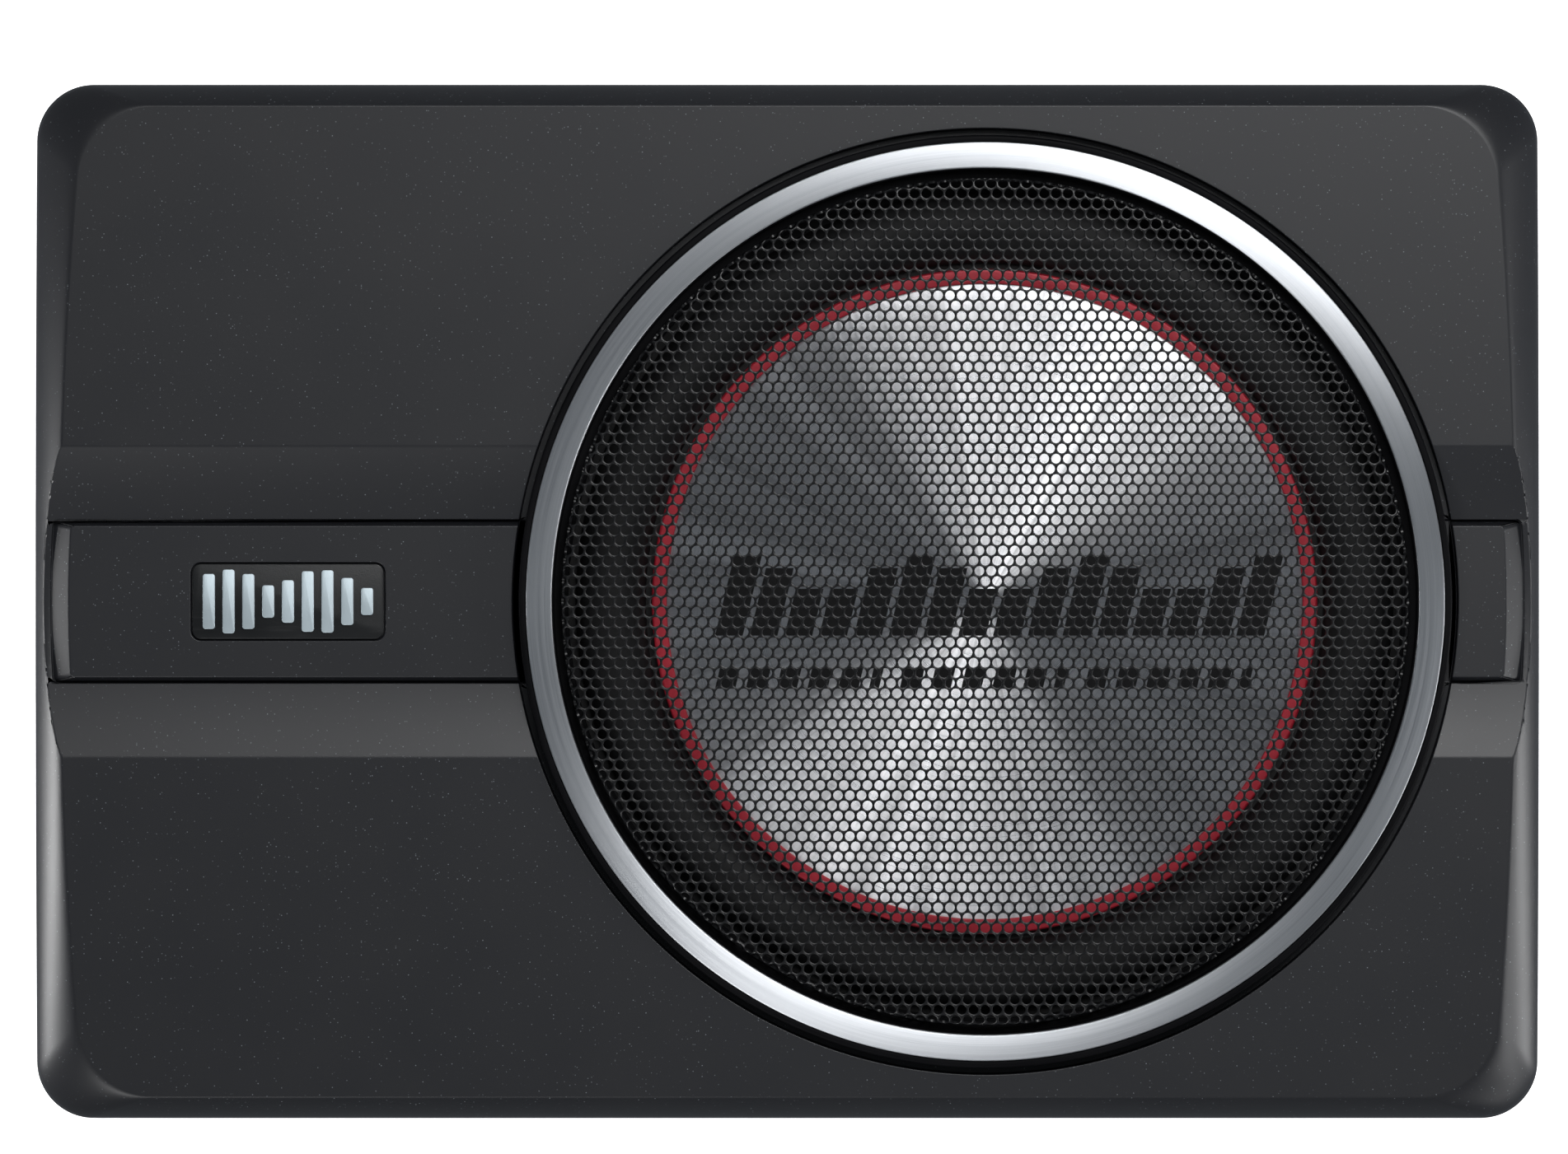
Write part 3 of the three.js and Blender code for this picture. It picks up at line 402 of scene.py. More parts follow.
# fine rings left by a tool or a brush that ran round an upright axis
def makeBrushedGroup():
    group, given, out = newGroup(
        "circularBrushing",
        [("Axis", "NodeSocketVector", (driverX * mm, 0, 0)), ("Lines", "NodeSocketFloat", 1.0)],
        [("Streak", "NodeSocketFloat"), ("Height", "NodeSocketFloat"), ("Wedge", "NodeSocketFloat")],
    )
    place = addNode(group, "ShaderNodeTexCoord").outputs["Object"]
    arm = addNode(group, "ShaderNodeVectorMath", {0: place, 1: given.outputs["Axis"]}, operation="SUBTRACT")
    flat = addNode(group, "ShaderNodeVectorMath", {0: arm.outputs[0], 1: (1, 1, 0)}, operation="MULTIPLY")
    radius = addNode(group, "ShaderNodeVectorMath", {0: flat.outputs[0]},
                     operation="LENGTH").outputs["Value"]
    direction = addNode(group, "ShaderNodeVectorMath", {0: flat.outputs[0]}, operation="NORMALIZE")
    lines = mathNode(group, "MULTIPLY", radius, mathNode(group, "MULTIPLY", given.outputs["Lines"], 9000.0))
    # each line is broken into strokes: the noise also changes slowly round the axis
    around = addNode(group, "ShaderNodeVectorMath", {0: direction.outputs[0], "Scale": 2.2},
                     operation="SCALE")
    stroke = addNode(group, "ShaderNodeTexNoise",
                     {"Vector": around.outputs[0], "W": lines, "Scale": 1.0, "Detail": 2.0},
                     noise_dimensions="4D")
    wide = mathNode(group, "MULTIPLY", radius, 700.0)
    band = addNode(group, "ShaderNodeTexNoise", {"W": wide, "Scale": 1.0, "Detail": 3.0},
                   noise_dimensions="1D")
    streak = mathNode(group, "ADD", mathNode(group, "MULTIPLY", stroke.outputs[0], 0.7),
                      mathNode(group, "MULTIPLY", band.outputs[0], 0.3))
    # faint darker wedges round the axis: painted shade in the colour, standing in for the darker sectors
    # between the bright fans that the brushed metal reflects
    paintedSectorShade = addNode(group, "ShaderNodeTexNoise",
                    {"Vector": direction.outputs[0], "Scale": 7.0, "Detail": 6.0, "Roughness": 0.72})
    group.links.new(streak, out.inputs["Streak"])
    group.links.new(stroke.outputs[0], out.inputs["Height"])
    group.links.new(paintedSectorShade.outputs[0], out.inputs["Wedge"])
    return group


# moulded or cast surface: fine grain, and dust that settles unevenly
def makeGrainGroup():
    group, given, out = newGroup(
        "fineGrain",
        [("Grain size", "NodeSocketFloat", 0.3), ("Cloud size", "NodeSocketFloat", 20.0)],
        [("Grain", "NodeSocketFloat"), ("Cloud", "NodeSocketFloat"), ("Scuff", "NodeSocketFloat")],
    )
    place = addNode(group, "ShaderNodeTexCoord").outputs["Object"]
    fineScale = mathNode(group, "DIVIDE", 1000.0, given.outputs["Grain size"])
    fine = addNode(group, "ShaderNodeTexNoise", {"Vector": place, "Scale": fineScale, "Detail": 2.0})
    cloudScale = mathNode(group, "DIVIDE", 1000.0, given.outputs["Cloud size"])
    cloud = addNode(group, "ShaderNodeTexNoise", {"Vector": place, "Scale": cloudScale, "Detail": 5.0})
    long = addNode(group, "ShaderNodeMapping", {"Vector": place, "Scale": (90, 900, 400)})
    scuff = addNode(group, "ShaderNodeTexNoise", {"Vector": long.outputs[0], "Scale": 1.0, "Detail": 4.0})
    narrow = addNode(group, "ShaderNodeMapRange",
                     {"Value": scuff.outputs[0], 1: 0.62, 2: 0.75, 3: 0.0, 4: 1.0})
    group.links.new(fine.outputs[0], out.inputs["Grain"])
    group.links.new(cloud.outputs[0], out.inputs["Cloud"])
    group.links.new(narrow.outputs[0], out.inputs["Scuff"])
    return group


flakeGroup = makeFlakeGroup()
brushedGroup = makeBrushedGroup()
grainGroup = makeGrainGroup()
print("shader groups made")


def newMaterial(name, color, roughness, metallic=0.0, **sockets):
    material = bpy.data.materials.new(name)
    material.use_nodes = True
    shader = material.node_tree.nodes["Principled BSDF"]
    shader.inputs["Base Color"].default_value = (*color, 1)
    shader.inputs["Roughness"].default_value = roughness
    shader.inputs["Metallic"].default_value = metallic
    for key, value in sockets.items():
        shader.inputs[key.replace("_", " ")].default_value = value
    return material, material.node_tree, shader


def groupNode(tree, group, **values):
    node = tree.nodes.new("ShaderNodeGroup")
    node.node_tree = group
    for key, value in values.items():
        node.inputs[key.replace("_", " ")].default_value = value
    return node


def mixColors(tree, factor, dark, light):
    return addNode(tree, "ShaderNodeMix", {0: factor, 6: dark, 7: light}, data_type="RGBA").outputs[2]


# a mask in the range that noise keeps to, turned into a range of its own
def spread(tree, value, low, high, fromLow=0.3, fromHigh=0.7):
    inputs = {"Value": value, 1: fromLow, 2: fromHigh, 3: low, 4: high}
    return addNode(tree, "ShaderNodeMapRange", inputs).outputs[0]


def bumpFrom(tree, shader, height, strength, distance):
    bump = addNode(tree, "ShaderNodeBump", {"Height": height, "Strength": strength,
                                            "Distance": distance * mm})
    tree.links.new(bump.outputs[0], shader.inputs["Normal"])


# dark grey satin paint with a fine bright flake, on the casting
def makeShellPaint():
    look = {"color": (0.0104, 0.0110, 0.0133), "cloud": (0.0112, 0.0116, 0.0136),
            "flake": (0.16, 0.175, 0.19),
            "roughness": (0.385, 0.405)}
    material, tree, shader = newMaterial("shellPaint", look["color"], 0.4, 0.0, Specular_IOR_Level=0.35)
    flake = groupNode(tree, flakeGroup, Size=1.0, Amount=0.05)
    ground = mixColors(tree, spread(tree, flake.outputs["Mottle"], 0, 1), (*look["color"], 1),
                     (*look["cloud"], 1))
    color = mixColors(tree, flake.outputs["Specks"], ground, (*look["flake"], 1))
    tree.links.new(color, shader.inputs["Base Color"])
    tree.links.new(spread(tree, flake.outputs["Mottle"], *look["roughness"]), shader.inputs["Roughness"])
    bumpFrom(tree, shader, flake.outputs["Height"], 0.25, 0.02)
    return material


def makeGrained(name, color, roughness, metallic=0.0, grain=0.3, bump=0.03, cloudColor=None, **sockets):
    material, tree, shader = newMaterial(name, color, roughness, metallic, **sockets)
    surface = groupNode(tree, grainGroup, Grain_size=grain)
    other = cloudColor or tuple(min(1, c * 1.35 + 0.002) for c in color)
    cloudy = mixColors(tree, spread(tree, surface.outputs["Cloud"], 0, 1), (*color, 1), (*other, 1))
    tree.links.new(cloudy, shader.inputs["Base Color"])
    rough = spread(tree, surface.outputs["Cloud"], roughness * 0.88, min(1, roughness * 1.12))
    scuffed = mathNode(tree, "ADD", rough, mathNode(tree, "MULTIPLY", surface.outputs["Scuff"], 0.1),
                       clamp=True)
    tree.links.new(scuffed, shader.inputs["Roughness"])
    bumpFrom(tree, shader, surface.outputs["Grain"], 0.5, bump)
    return material


# metal brushed round the driver's axis
def makeBrushed(name, dark, light, roughness, anisotropic, paintedSectorShade=0.0, bump=0.004):
    material, tree, shader = newMaterial(name, light, roughness, 1.0, Anisotropic=anisotropic,
                                         Anisotropic_Rotation=0.25)
    brushed = groupNode(tree, brushedGroup)
    color = mixColors(tree, spread(tree, brushed.outputs["Streak"], 0, 1), (*dark, 1), (*light, 1))
    # painted shade: the colour is darkened in wedges round the axis, in place of the darker sectors of the
    # brushed reflection
    if paintedSectorShade:
        shadeBy = spread(tree, brushed.outputs["Wedge"], 1 - paintedSectorShade, 1, 0.38, 0.6)
        color = addNode(tree, "ShaderNodeVectorMath", {0: color, "Scale": shadeBy},
                        operation="SCALE").outputs[0]
    tree.links.new(color, shader.inputs["Base Color"])
    rough = spread(tree, brushed.outputs["Streak"], roughness * 0.85, roughness * 1.15)
    tree.links.new(rough, shader.inputs["Roughness"])
    tangent = addNode(tree, "ShaderNodeTangent", direction_type="RADIAL", axis="Z")
    tree.links.new(tangent.outputs[0], shader.inputs["Tangent"])
    bumpFrom(tree, shader, brushed.outputs["Height"], 0.35, bump)
    return material


shellPaint = makeShellPaint()
trimMetal = makeBrushed("trimMetal", (0.40, 0.415, 0.44), (0.52, 0.535, 0.555), 0.37, 0.88)
# the disc's colour carries painted shade in wedges round its axis
discMetal = makeBrushed("discMetal", (0.82, 0.83, 0.87), (1.0, 0.99, 1.0), 0.3, 0.97, paintedSectorShade=0.42)
formerMetal = makeGrained("formerMetal", (0.55, 0.56, 0.58), 0.35, 1.0)
bezelPlastic = makeGrained("bezelPlastic", (0.0015, 0.0015, 0.002), 0.5, Specular_IOR_Level=0.04)
panelPlastic = makeGrained("panelPlastic", (0.011, 0.011, 0.012), 0.5, bump=0.05)
socketPlastic = makeGrained("socketPlastic", (0.014, 0.014, 0.015), 0.42)
knobPlastic = makeGrained("knobPlastic", (0.012, 0.012, 0.013), 0.4)
grilleSteel = makeGrained("grilleSteel", (0.003, 0.0031, 0.0036), 0.27, 0.0, grain=0.15, bump=0.01,
                          Specular_IOR_Level=0.3)
frameSteel = makeGrained("frameSteel", (0.016, 0.017, 0.018), 0.5)
baseSteel = makeGrained("baseSteel", (0.018, 0.019, 0.020), 0.55, grain=0.5, bump=0.06)
zincSteel = makeGrained("zincSteel", (0.50, 0.50, 0.48), 0.32, 1.0, grain=0.6)
switchSteel = makeGrained("switchSteel", (0.16, 0.16, 0.155), 0.5, 1.0, grain=0.6)
plateSteel = makeGrained("plateSteel", (0.36, 0.36, 0.37), 0.4, 1.0)
screwSteel = makeGrained("screwSteel", (0.04, 0.04, 0.042), 0.36, 1.0)
surroundRubber = makeGrained("surroundRubber", (0.003, 0.003, 0.0034), 0.62, grain=0.4, bump=0.05,
                             Specular_IOR_Level=0.3)
footRubber = makeGrained("footRubber", (0.013, 0.013, 0.013), 0.8, grain=0.5, bump=0.08)
foamSeal = makeGrained("foamSeal", (0.010, 0.010, 0.010), 0.95, grain=0.5, bump=0.15)
conePulp = makeGrained("conePulp", (0.012, 0.012, 0.013), 0.85, grain=0.9, bump=0.12)
redAccent = makeGrained("redAccent", (0.36, 0.013, 0.028), 0.4, 0.25, grain=0.2)
printInk = makeGrained("printInk", (0.002, 0.002, 0.0025), 0.5, Specular_IOR_Level=0.2)
emblemSilver = makeGrained("emblemSilver", (0.36, 0.42, 0.45), 0.42, 0.55, grain=0.2, bump=0.01)
badgeGround = makeGrained("badgeGround", (0.004, 0.0045, 0.005), 0.35, Specular_IOR_Level=0.3)
coilCopper = makeGrained("coilCopper", (0.62, 0.24, 0.09), 0.32, 1.0, grain=0.4)
spiderCloth = makeGrained("spiderCloth", (0.42, 0.27, 0.09), 0.85, grain=0.8, bump=0.2)
ferrite = makeGrained("ferrite", (0.030, 0.030, 0.032), 0.5, grain=0.7, bump=0.1)
goldPlate = makeGrained("goldPlate", (0.72, 0.48, 0.16), 0.25, 1.0, grain=0.2, bump=0.005)
boardMask = makeGrained("boardMask", (0.012, 0.075, 0.030), 0.4)
amberFuse = makeGrained("amberFuse", (0.62, 0.27, 0.02), 0.25, bump=0.01)
ledRed = makeGrained("ledRed", (0.45, 0.01, 0.01), 0.2, bump=0.002)
insulatorRed = makeGrained("insulatorRed", (0.42, 0.01, 0.012), 0.4, bump=0.01)
insulatorWhite = makeGrained("insulatorWhite", (0.62, 0.62, 0.60), 0.4, bump=0.01)
canSleeve = makeGrained("canSleeve", (0.013, 0.014, 0.016), 0.35)
barAluminium = makeGrained("barAluminium", (0.42, 0.43, 0.44), 0.42, 1.0, grain=0.5)
print("materials made")


def makeFloor():
    material, _, shader = newMaterial("paleFloor", (0.86, 0.86, 0.86), 0.7)
    shader.inputs["Emission Color"].default_value = (1, 1, 1, 1)
    shader.inputs["Emission Strength"].default_value = 0.9
    size = 3000
    corners = [(-size, -size, 0), (size, -size, 0), (size, size, 0), (-size, size, 0)]
    mesh = meshFrom("floor", corners, [(0, 1, 2, 3)])
    floor = bpy.data.objects.new("floor", mesh)
    mesh.materials.append(material)
    bpy.context.scene.collection.objects.link(floor)
    floor.visible_glossy = False  # it stays out of the reflections


makeCamera()
makeLights()
makeFloor()
print("camera, lights and floor placed")


shell = {
    "length": 320, "width": 220, "lowZ": 6, "faceZ": topZ - 2,
    "draft": 0.6, "corner": 12, "faceCorner": 15, "sideBow": 0.4, "faceBow": 5.1,
    "sideBevel": 5.8, "endBevel": 5.0, "bevelDrop": 10, "bevelEase": 0.10,
    "wall": 3, "roofZ": 64, "collar": 102.5, "collarLowZ": 55.9,
    "channelHalf": 33, "channelDepth": 4.3,
    "barHalf": 16.1, "barEnd": 152.6, "barRise": 2.5, "barEndSlope": 1.4, "barSideSlope": 0.35,
    "barBow": 0.5,
    "barGroove": 0.35, "barGrooveDepth": 0.7,
    "grooveRadius": 100.4, "grooveDrop": 4.5, "seatRadius": 98.3, "seatZ": 64, "openingRadius": 91.6,
    "badge": (41.3, 16.6, 2.2, 1.0),
    "edge": 0.28, "pillar": 4.5, "bore": 2.0, "boreTop": 17,
}
bay = {"halfWidth": 81.6, "lowZ": 17, "highZ": 41, "backX": -148, "cheek": 8, "frame": 2, "corner": 2.0}
badgeLow, badgeHigh = boxMm("badge_plate")
badgeX = (badgeLow.x + badgeHigh.x) / 2


# a rounded rectangle whose short sides bow out, as points at one height
def bowedOutline(halfX, halfY, radius, bow, z, cornerSteps=20, sideSteps=36):
    points = []
    for corner in range(4):
        signX = 1 if corner in (0, 3) else -1
        signY = 1 if corner < 2 else -1
        for k in range(cornerSteps + 1):
            angle = (corner + k / cornerSteps) * math.pi / 2
            points.append((signX * (halfX - radius) + radius * math.cos(angle),
                           signY * (halfY - radius) + radius * math.sin(angle)))
        if corner % 2:
            for k in range(1, sideSteps):
                points.append((signX * halfX, signY * (halfY - radius) * (1 - 2 * k / sideSteps)))
    return [(x * (1 - (bow / halfX) * (y / halfY) ** 2), y, z) for x, y in points]


def bevelFall(across):
    ease = shell["bevelEase"]
    eased = (math.sqrt(across ** 2 + ease ** 2) - ease) / (math.sqrt(1 + ease ** 2) - ease)
    return 1 - (1 - eased ** 1.1) ** 0.627


def mixed(a, b, share):
    return a + (b - a) * share


def shellBlank(grow=0.0):
    halfX, halfY = shell["length"] / 2 - grow, shell["width"] / 2 - grow
    rings = [bowedOutline(halfX - shell["draft"], halfY - shell["draft"], shell["corner"], shell["sideBow"],
                          shell["lowZ"])]
    steps = 26
    for k in range(steps + 1):
        across = (1 - k / steps) ** 1.5
        rings.append(bowedOutline(
            halfX - shell["sideBevel"] * (1 - across), halfY - shell["endBevel"] * (1 - across),
            mixed(shell["faceCorner"], shell["corner"], across),
            mixed(shell["faceBow"], shell["sideBow"], across),
            shell["faceZ"] - shell["bevelDrop"] * bevelFall(across)))
    return loftedMesh("shellBlank", rings)


def channelCutter():
    half, depth, faceZ = shell["channelHalf"], shell["channelDepth"], shell["faceZ"]
    radius = (half ** 2 + depth ** 2) / (2 * depth)
    span = math.asin(half / radius)
    steps = 80
    arc = [(radius * math.sin(span * (2 * k / steps - 1)),
            faceZ - depth + radius * (1 - math.cos(span * (2 * k / steps - 1)))) for k in range(steps + 1)]
    section = [(-half, faceZ + 5)] + arc + [(half, faceZ + 5)]
    return loftedMesh("channel", [[(x, y, z) for y, z in section] for x in (-170, 170)])


# the bar's outline that far below its top, grown by a margin
def barOutline(drop, grow=0.0):
    barTop = shell["faceZ"] - shell["channelDepth"] + shell["barRise"]
    return bowedOutline(shell["barEnd"] + drop * shell["barEndSlope"] + grow,
                        shell["barHalf"] + drop * shell["barSideSlope"] + grow, 1.0 + grow, shell["barBow"],
                        barTop - drop, 6, 16)


# a narrow shadow line round the foot of the bar
def barGroove():
    rise, depth = shell["barRise"], shell["barGrooveDepth"]
    trace = [(x, y) for x, y, _ in barOutline(rise, shell["barGroove"])]
    floorZ = shell["faceZ"] - shell["channelDepth"]
    return slabMesh("groove", trace, floorZ - depth, floorZ + rise)


def channelBar():
    return loftedMesh("bar", [barOutline(shell["barRise"] + shell["barGrooveDepth"] + 0.3), barOutline(0)])


def cylinder(radius, lowZ, highZ, segments=240, centre=(0, 0)):
    outline = [(0, lowZ), (radius, lowZ), (radius, highZ), (0, highZ)]
    return turnedMesh("cylinder", outline, centre, segments, closed=False)


def boxMesh(low, high):
    (x0, y0, z0), (x1, y1, z1) = low, high
    return loftedMesh("box", [[(x0, y0, z), (x1, y0, z), (x1, y1, z), (x0, y1, z)] for z in (z0, z1)])


def pillarPlaces():
    x, y = shell["length"] / 2 - shell["corner"], shell["width"] / 2 - shell["corner"]
    middle = shell["width"] / 2 - 7.5
    return [(-x, -y), (0, -middle), (x, -y), (x, y), (0, middle), (-x, y)]


def makeHousing():
    faceZ, axis = shell["faceZ"], (driverX, 0)
    body = cut(shellBlank(), [channelCutter(), barGroove()])
    bar = cut(channelBar(), [cylinder(shell["grooveRadius"], 50, 90, 240, axis)])
    body = cut(body, [bar], "UNION")
    wall = shell["wall"]
    inner = [bowedOutline(shell["length"] / 2 - wall - lean, shell["width"] / 2 - wall - lean,
                          shell["corner"] - wall, shell["sideBow"], z, 10, 12)
             for lean, z in ((shell["draft"], shell["lowZ"] - 1), (0, shell["roofZ"]))]
    body = cut(body, [loftedMesh("cavity", inner)])
    collar = cut(cylinder(shell["collar"], shell["collarLowZ"], shell["roofZ"] + 1, 120, axis),
                 [cylinder(shell["openingRadius"], 40, 80, 120, axis)])
    tunnel = boxMesh((-158, -bay["halfWidth"] - bay["cheek"], bay["lowZ"] - bay["frame"]),
                     (bay["backX"] - 0.1, bay["halfWidth"] + bay["cheek"], bay["highZ"] + bay["frame"]))
    pillars = [cylinder(shell["pillar"], shell["lowZ"], shell["roofZ"] + 1, 32,
                        place) for place in pillarPlaces()]
    body = cut(body, [collar, tunnel] + pillars, "UNION")
    mouth = [(p[0], p[1]) for p in roundedOutline(
        (0, (bay["lowZ"] + bay["highZ"]) / 2), 2 * bay["halfWidth"], bay["highZ"] - bay["lowZ"],
        bay["corner"])]
    tunnelHole = loftedMesh("mouth", [[(x, y, z) for y, z in mouth] for x in (-170, bay["backX"] + 3)])
    badgeSizeX, badgeSizeY, badgeRadius, badgeDepth = shell["badge"]
    barTop = faceZ - shell["channelDepth"] + shell["barRise"]
    pocket = slabMesh("pocket", roundedOutline((badgeX, 0), badgeSizeX, badgeSizeY, badgeRadius),
                      barTop - badgeDepth, barTop + 4)
    body = cut(body, [
        tunnelHole, pocket,
        cylinder(shell["grooveRadius"], faceZ - shell["grooveDrop"], 90, 360, axis),
        cylinder(shell["seatRadius"], shell["seatZ"], 90, 240, axis),
        cylinder(shell["openingRadius"], 4, 90, 240, axis)]
        + [cylinder(shell["bore"], 4, shell["boreTop"], 24, place) for place in pillarPlaces()])
    body = softenEdges(body, shell["edge"], angle=11, segments=2)
    newPiece("topHousing", body, "enclosure", shellPaint, ["top_housing"])
    print("housing:", len(body.vertices), "points")


makeHousing()


ringSizes = {
    "bezelRadius": 99, "bezelLowZ": 66.6, "trimOuter": 97.5, "trimInner": 92, "seatDepth": 1.6,
    "ledgeInner": 88.5, "ledgeZ": 67.8, "grilleRadius": 90, "gap": 0.3,
}


def makeRings():
    outer, gap, top = ringSizes["bezelRadius"], ringSizes["gap"], topZ
    seat, inner = top - ringSizes["seatDepth"], ringSizes["trimInner"] - gap
    outline = filleted([
        (ringSizes["ledgeInner"], ringSizes["bezelLowZ"], 0.2), (outer, ringSizes["bezelLowZ"], 0.2),
        (outer, top, 0.55), (ringSizes["trimOuter"] + 0.15, top, 0.15),
        (ringSizes["trimOuter"] + 0.15, seat, 0),
        (inner, seat, 0.2), (inner, ringSizes["ledgeZ"], 0.3),
        (ringSizes["ledgeInner"], ringSizes["ledgeZ"], 0.3)], 4)
    bezel = turnedMesh("bezel", outline, (driverX, 0), 288)
    newPiece("bezelRing", bezel, "enclosure", bezelPlastic, ["bezel_ring"])
    outline = filleted([
        (ringSizes["trimInner"], top - 1.5, 0), (ringSizes["trimOuter"], top - 1.5, 0),
        (ringSizes["trimOuter"], top, 0.3), (ringSizes["trimInner"], top, 0.35)], 4)
    trim = turnedMesh("trim", outline, (driverX, 0), 288)
    newPiece("trimRing", trim, "enclosure", trimMetal, ["trim_ring"])


makeRings()


# the perforated sheet: its holes, their eased edges, and the rim rolled down round it
perforation = {"pitch": 2.5, "hole": 1.03, "edge": 0.15, "edgeDrop": 0.09, "thickness": 0.55,
               "bendRadius": 1.3,
               "wallDepth": 2.6, "sides": 12}


# follows a flat sheet over the rolled edge: flat radius and depth below the face to a point on the pan
def bentSheet(flatRadius, depth):
    bend, start = perforation["bendRadius"], ringSizes["grilleRadius"] - perforation["bendRadius"]
    along = np.clip(flatRadius - start, 0, None)
    turn = np.clip(along / bend, 0, math.pi / 2)
    below = np.clip(along - bend * math.pi / 2, 0, None)
    radius = np.where(along > 0, start + (bend - depth) * np.sin(turn), flatRadius)
    drop = np.where(along > 0, bend - (bend - depth) * np.cos(turn) + below, depth)
    return radius, drop


def makeGrille():
    pitch, hole, edge = perforation["pitch"], perforation["hole"], perforation["edge"]
    bend = perforation["bendRadius"]
    flatEdge = ringSizes["grilleRadius"] - bend + bend * math.pi / 2 + perforation["wallDepth"]
    rowStep = pitch * math.sqrt(3) / 2
    reach = int(flatEdge / rowStep) + 1
    centres = []
    for row in range(-reach, reach + 1):
        shift = pitch / 2 if row % 2 else 0
        for column in range(-reach, reach + 1):
            centre = (column * pitch + shift, row * rowStep)
            if math.hypot(*centre) < flatEdge - pitch * 0.25:
                centres.append(centre)
    centres = np.array(centres)
    sides = perforation["sides"]
    angles = np.arange(sides) * 2 * math.pi / sides
    spoke = np.stack([np.cos(angles), np.sin(angles)], 1)
    cellRadius = np.where(np.arange(sides) % 2 == 0, pitch / 2, pitch / math.sqrt(3))
    thick = perforation["thickness"]
    # each cell: its border on the face, the eased edge of its hole, then the hole and the border underneath
    loops = [(cellRadius, 0), (hole + edge, 0), (hole + 0.02, perforation["edgeDrop"]), (hole, thick),
             (cellRadius, thick)]
    points = []
    for radius, depth in loops:
        ring = centres[:, None, :] + (spoke * np.reshape(radius, (-1, 1)))[None]
        flat = np.hypot(ring[..., 0], ring[..., 1])
        held = np.minimum(flat, flatEdge)
        newRadius, drop = bentSheet(held, depth)
        scale = newRadius / np.maximum(flat, 1e-9)
        points.append(np.stack([driverX + ring[..., 0] * scale, ring[..., 1] * scale, grilleTop - drop],
                               -1))
    cloud = np.stack(points, 1).reshape(-1, 3) * mm
    cells, levels = len(centres), len(loops)
    start = np.arange(cells)[:, None, None] * levels * sides
    level = np.arange(levels - 1)[None, :, None] * sides
    side = np.arange(sides)[None, None, :]
    a, b = start + level + side, start + level + (side + 1) % sides
    quads = np.stack([a, b, b + sides, a + sides], -1).reshape(-1, 4)
    sheet = bpy.data.meshes.new("grille")
    sheet.from_pydata(cloud, [], quads.tolist())
    work = bmesh.new()
    work.from_mesh(sheet)
    bmesh.ops.remove_doubles(work, verts=work.verts, dist=2e-6)
    bmesh.ops.dissolve_degenerate(work, edges=work.edges, dist=1e-6)
    work.to_mesh(sheet)
    work.free()
    shade(sheet, 40)
    newPiece("grilleMesh", sheet, "enclosure", grilleSteel, ["grille"])
    print("grille:", cells, "holes,", len(sheet.polygons), "faces")


grilleTop = boxMm("grille")[1].z
makeGrille()


driver = {
    "discRadius": 68.65, "discLowZ": 58.7, "discHighZ": 60.1,
    "accentStep": 68.8, "accentInner": 67.65, "accentOuter": 70.85, "accentHighZ": 60.8,
    "rollInner": 72.1, "rollOuter": 87.1, "rollHeight": 7.0, "lipZ": 57.7, "lipInner": 67.9,
    "lipOuter": 89.7,
    "skin": 0.8,
}


# works the piece's placement into its points
def followCone(piece):
    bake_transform(piece)


def makeSurround():
    steps, skin = 28, driver["skin"]
    middle = (driver["rollInner"] + driver["rollOuter"]) / 2
    half = (driver["rollOuter"] - driver["rollInner"]) / 2
    lowZ = driver["lipZ"]

    def roll(reach, rise, footZ):
        return [(middle + reach * math.cos(math.pi * (1 - k / steps)),
                 footZ + rise * math.sin(math.pi * (1 - k / steps)) ** 0.9) for k in range(steps + 1)]

    over = roll(half, driver["rollHeight"], lowZ + skin)
    under = roll(half - skin, driver["rollHeight"] - skin, lowZ + 0.05)
    outline = [(driver["lipInner"], lowZ + skin)] + over + [(driver["lipOuter"], lowZ + skin)]
    outline += [(driver["lipOuter"], lowZ)] + under[::-1] + [(driver["lipInner"], lowZ)]
    surround = newPiece("surroundRoll", turnedMesh("surround", outline, (driverX, 0), 240), None,
                        surroundRubber, ["surround"])
    followCone(surround)


def makeDisc():
    low, high = driver["discLowZ"], driver["discHighZ"]
    outline = [(0, low), (driver["discRadius"], low), (driver["discRadius"], high - 0.35)]
    outline += [(driver["discRadius"] - 0.35 * (1 - math.cos(t)), high - 0.35 * (1 - math.sin(t)))
                for t in (0.4, 0.8, 1.2, math.pi / 2)]
    outline += [(driver["discRadius"] * share, high) for share in (0.9, 0.6, 0.3, 0.08)] + [(0, high)]
    disc = turnedMesh("disc", outline, (driverX, 0), 240, closed=False)
    newPiece("discSkin", disc, "cone_assembly", discMetal, ["diaphragm_disc"])
    # the ring stands round the disc's edge and laps over its face
    step, inner, outer = driver["accentStep"], driver["accentInner"], driver["accentOuter"]
    top, seat = driver["accentHighZ"], high + 0.05
    outline = filleted([(step, low, 0), (outer, low, 0), (outer, top, 0.6), (inner, top, 0.3),
                        (inner, seat, 0),
                        (step, seat, 0)], 6)
    accent = turnedMesh("accent", outline, (driverX, 0), 240)
    newPiece("accentRing", accent, "cone_assembly", redAccent, ["accent_ring"])


makeSurround()
makeDisc()


badge = {"bars": 9, "pitch": 4.2, "thick": 2.6, "shortest": 2.6, "swing": 4.2}


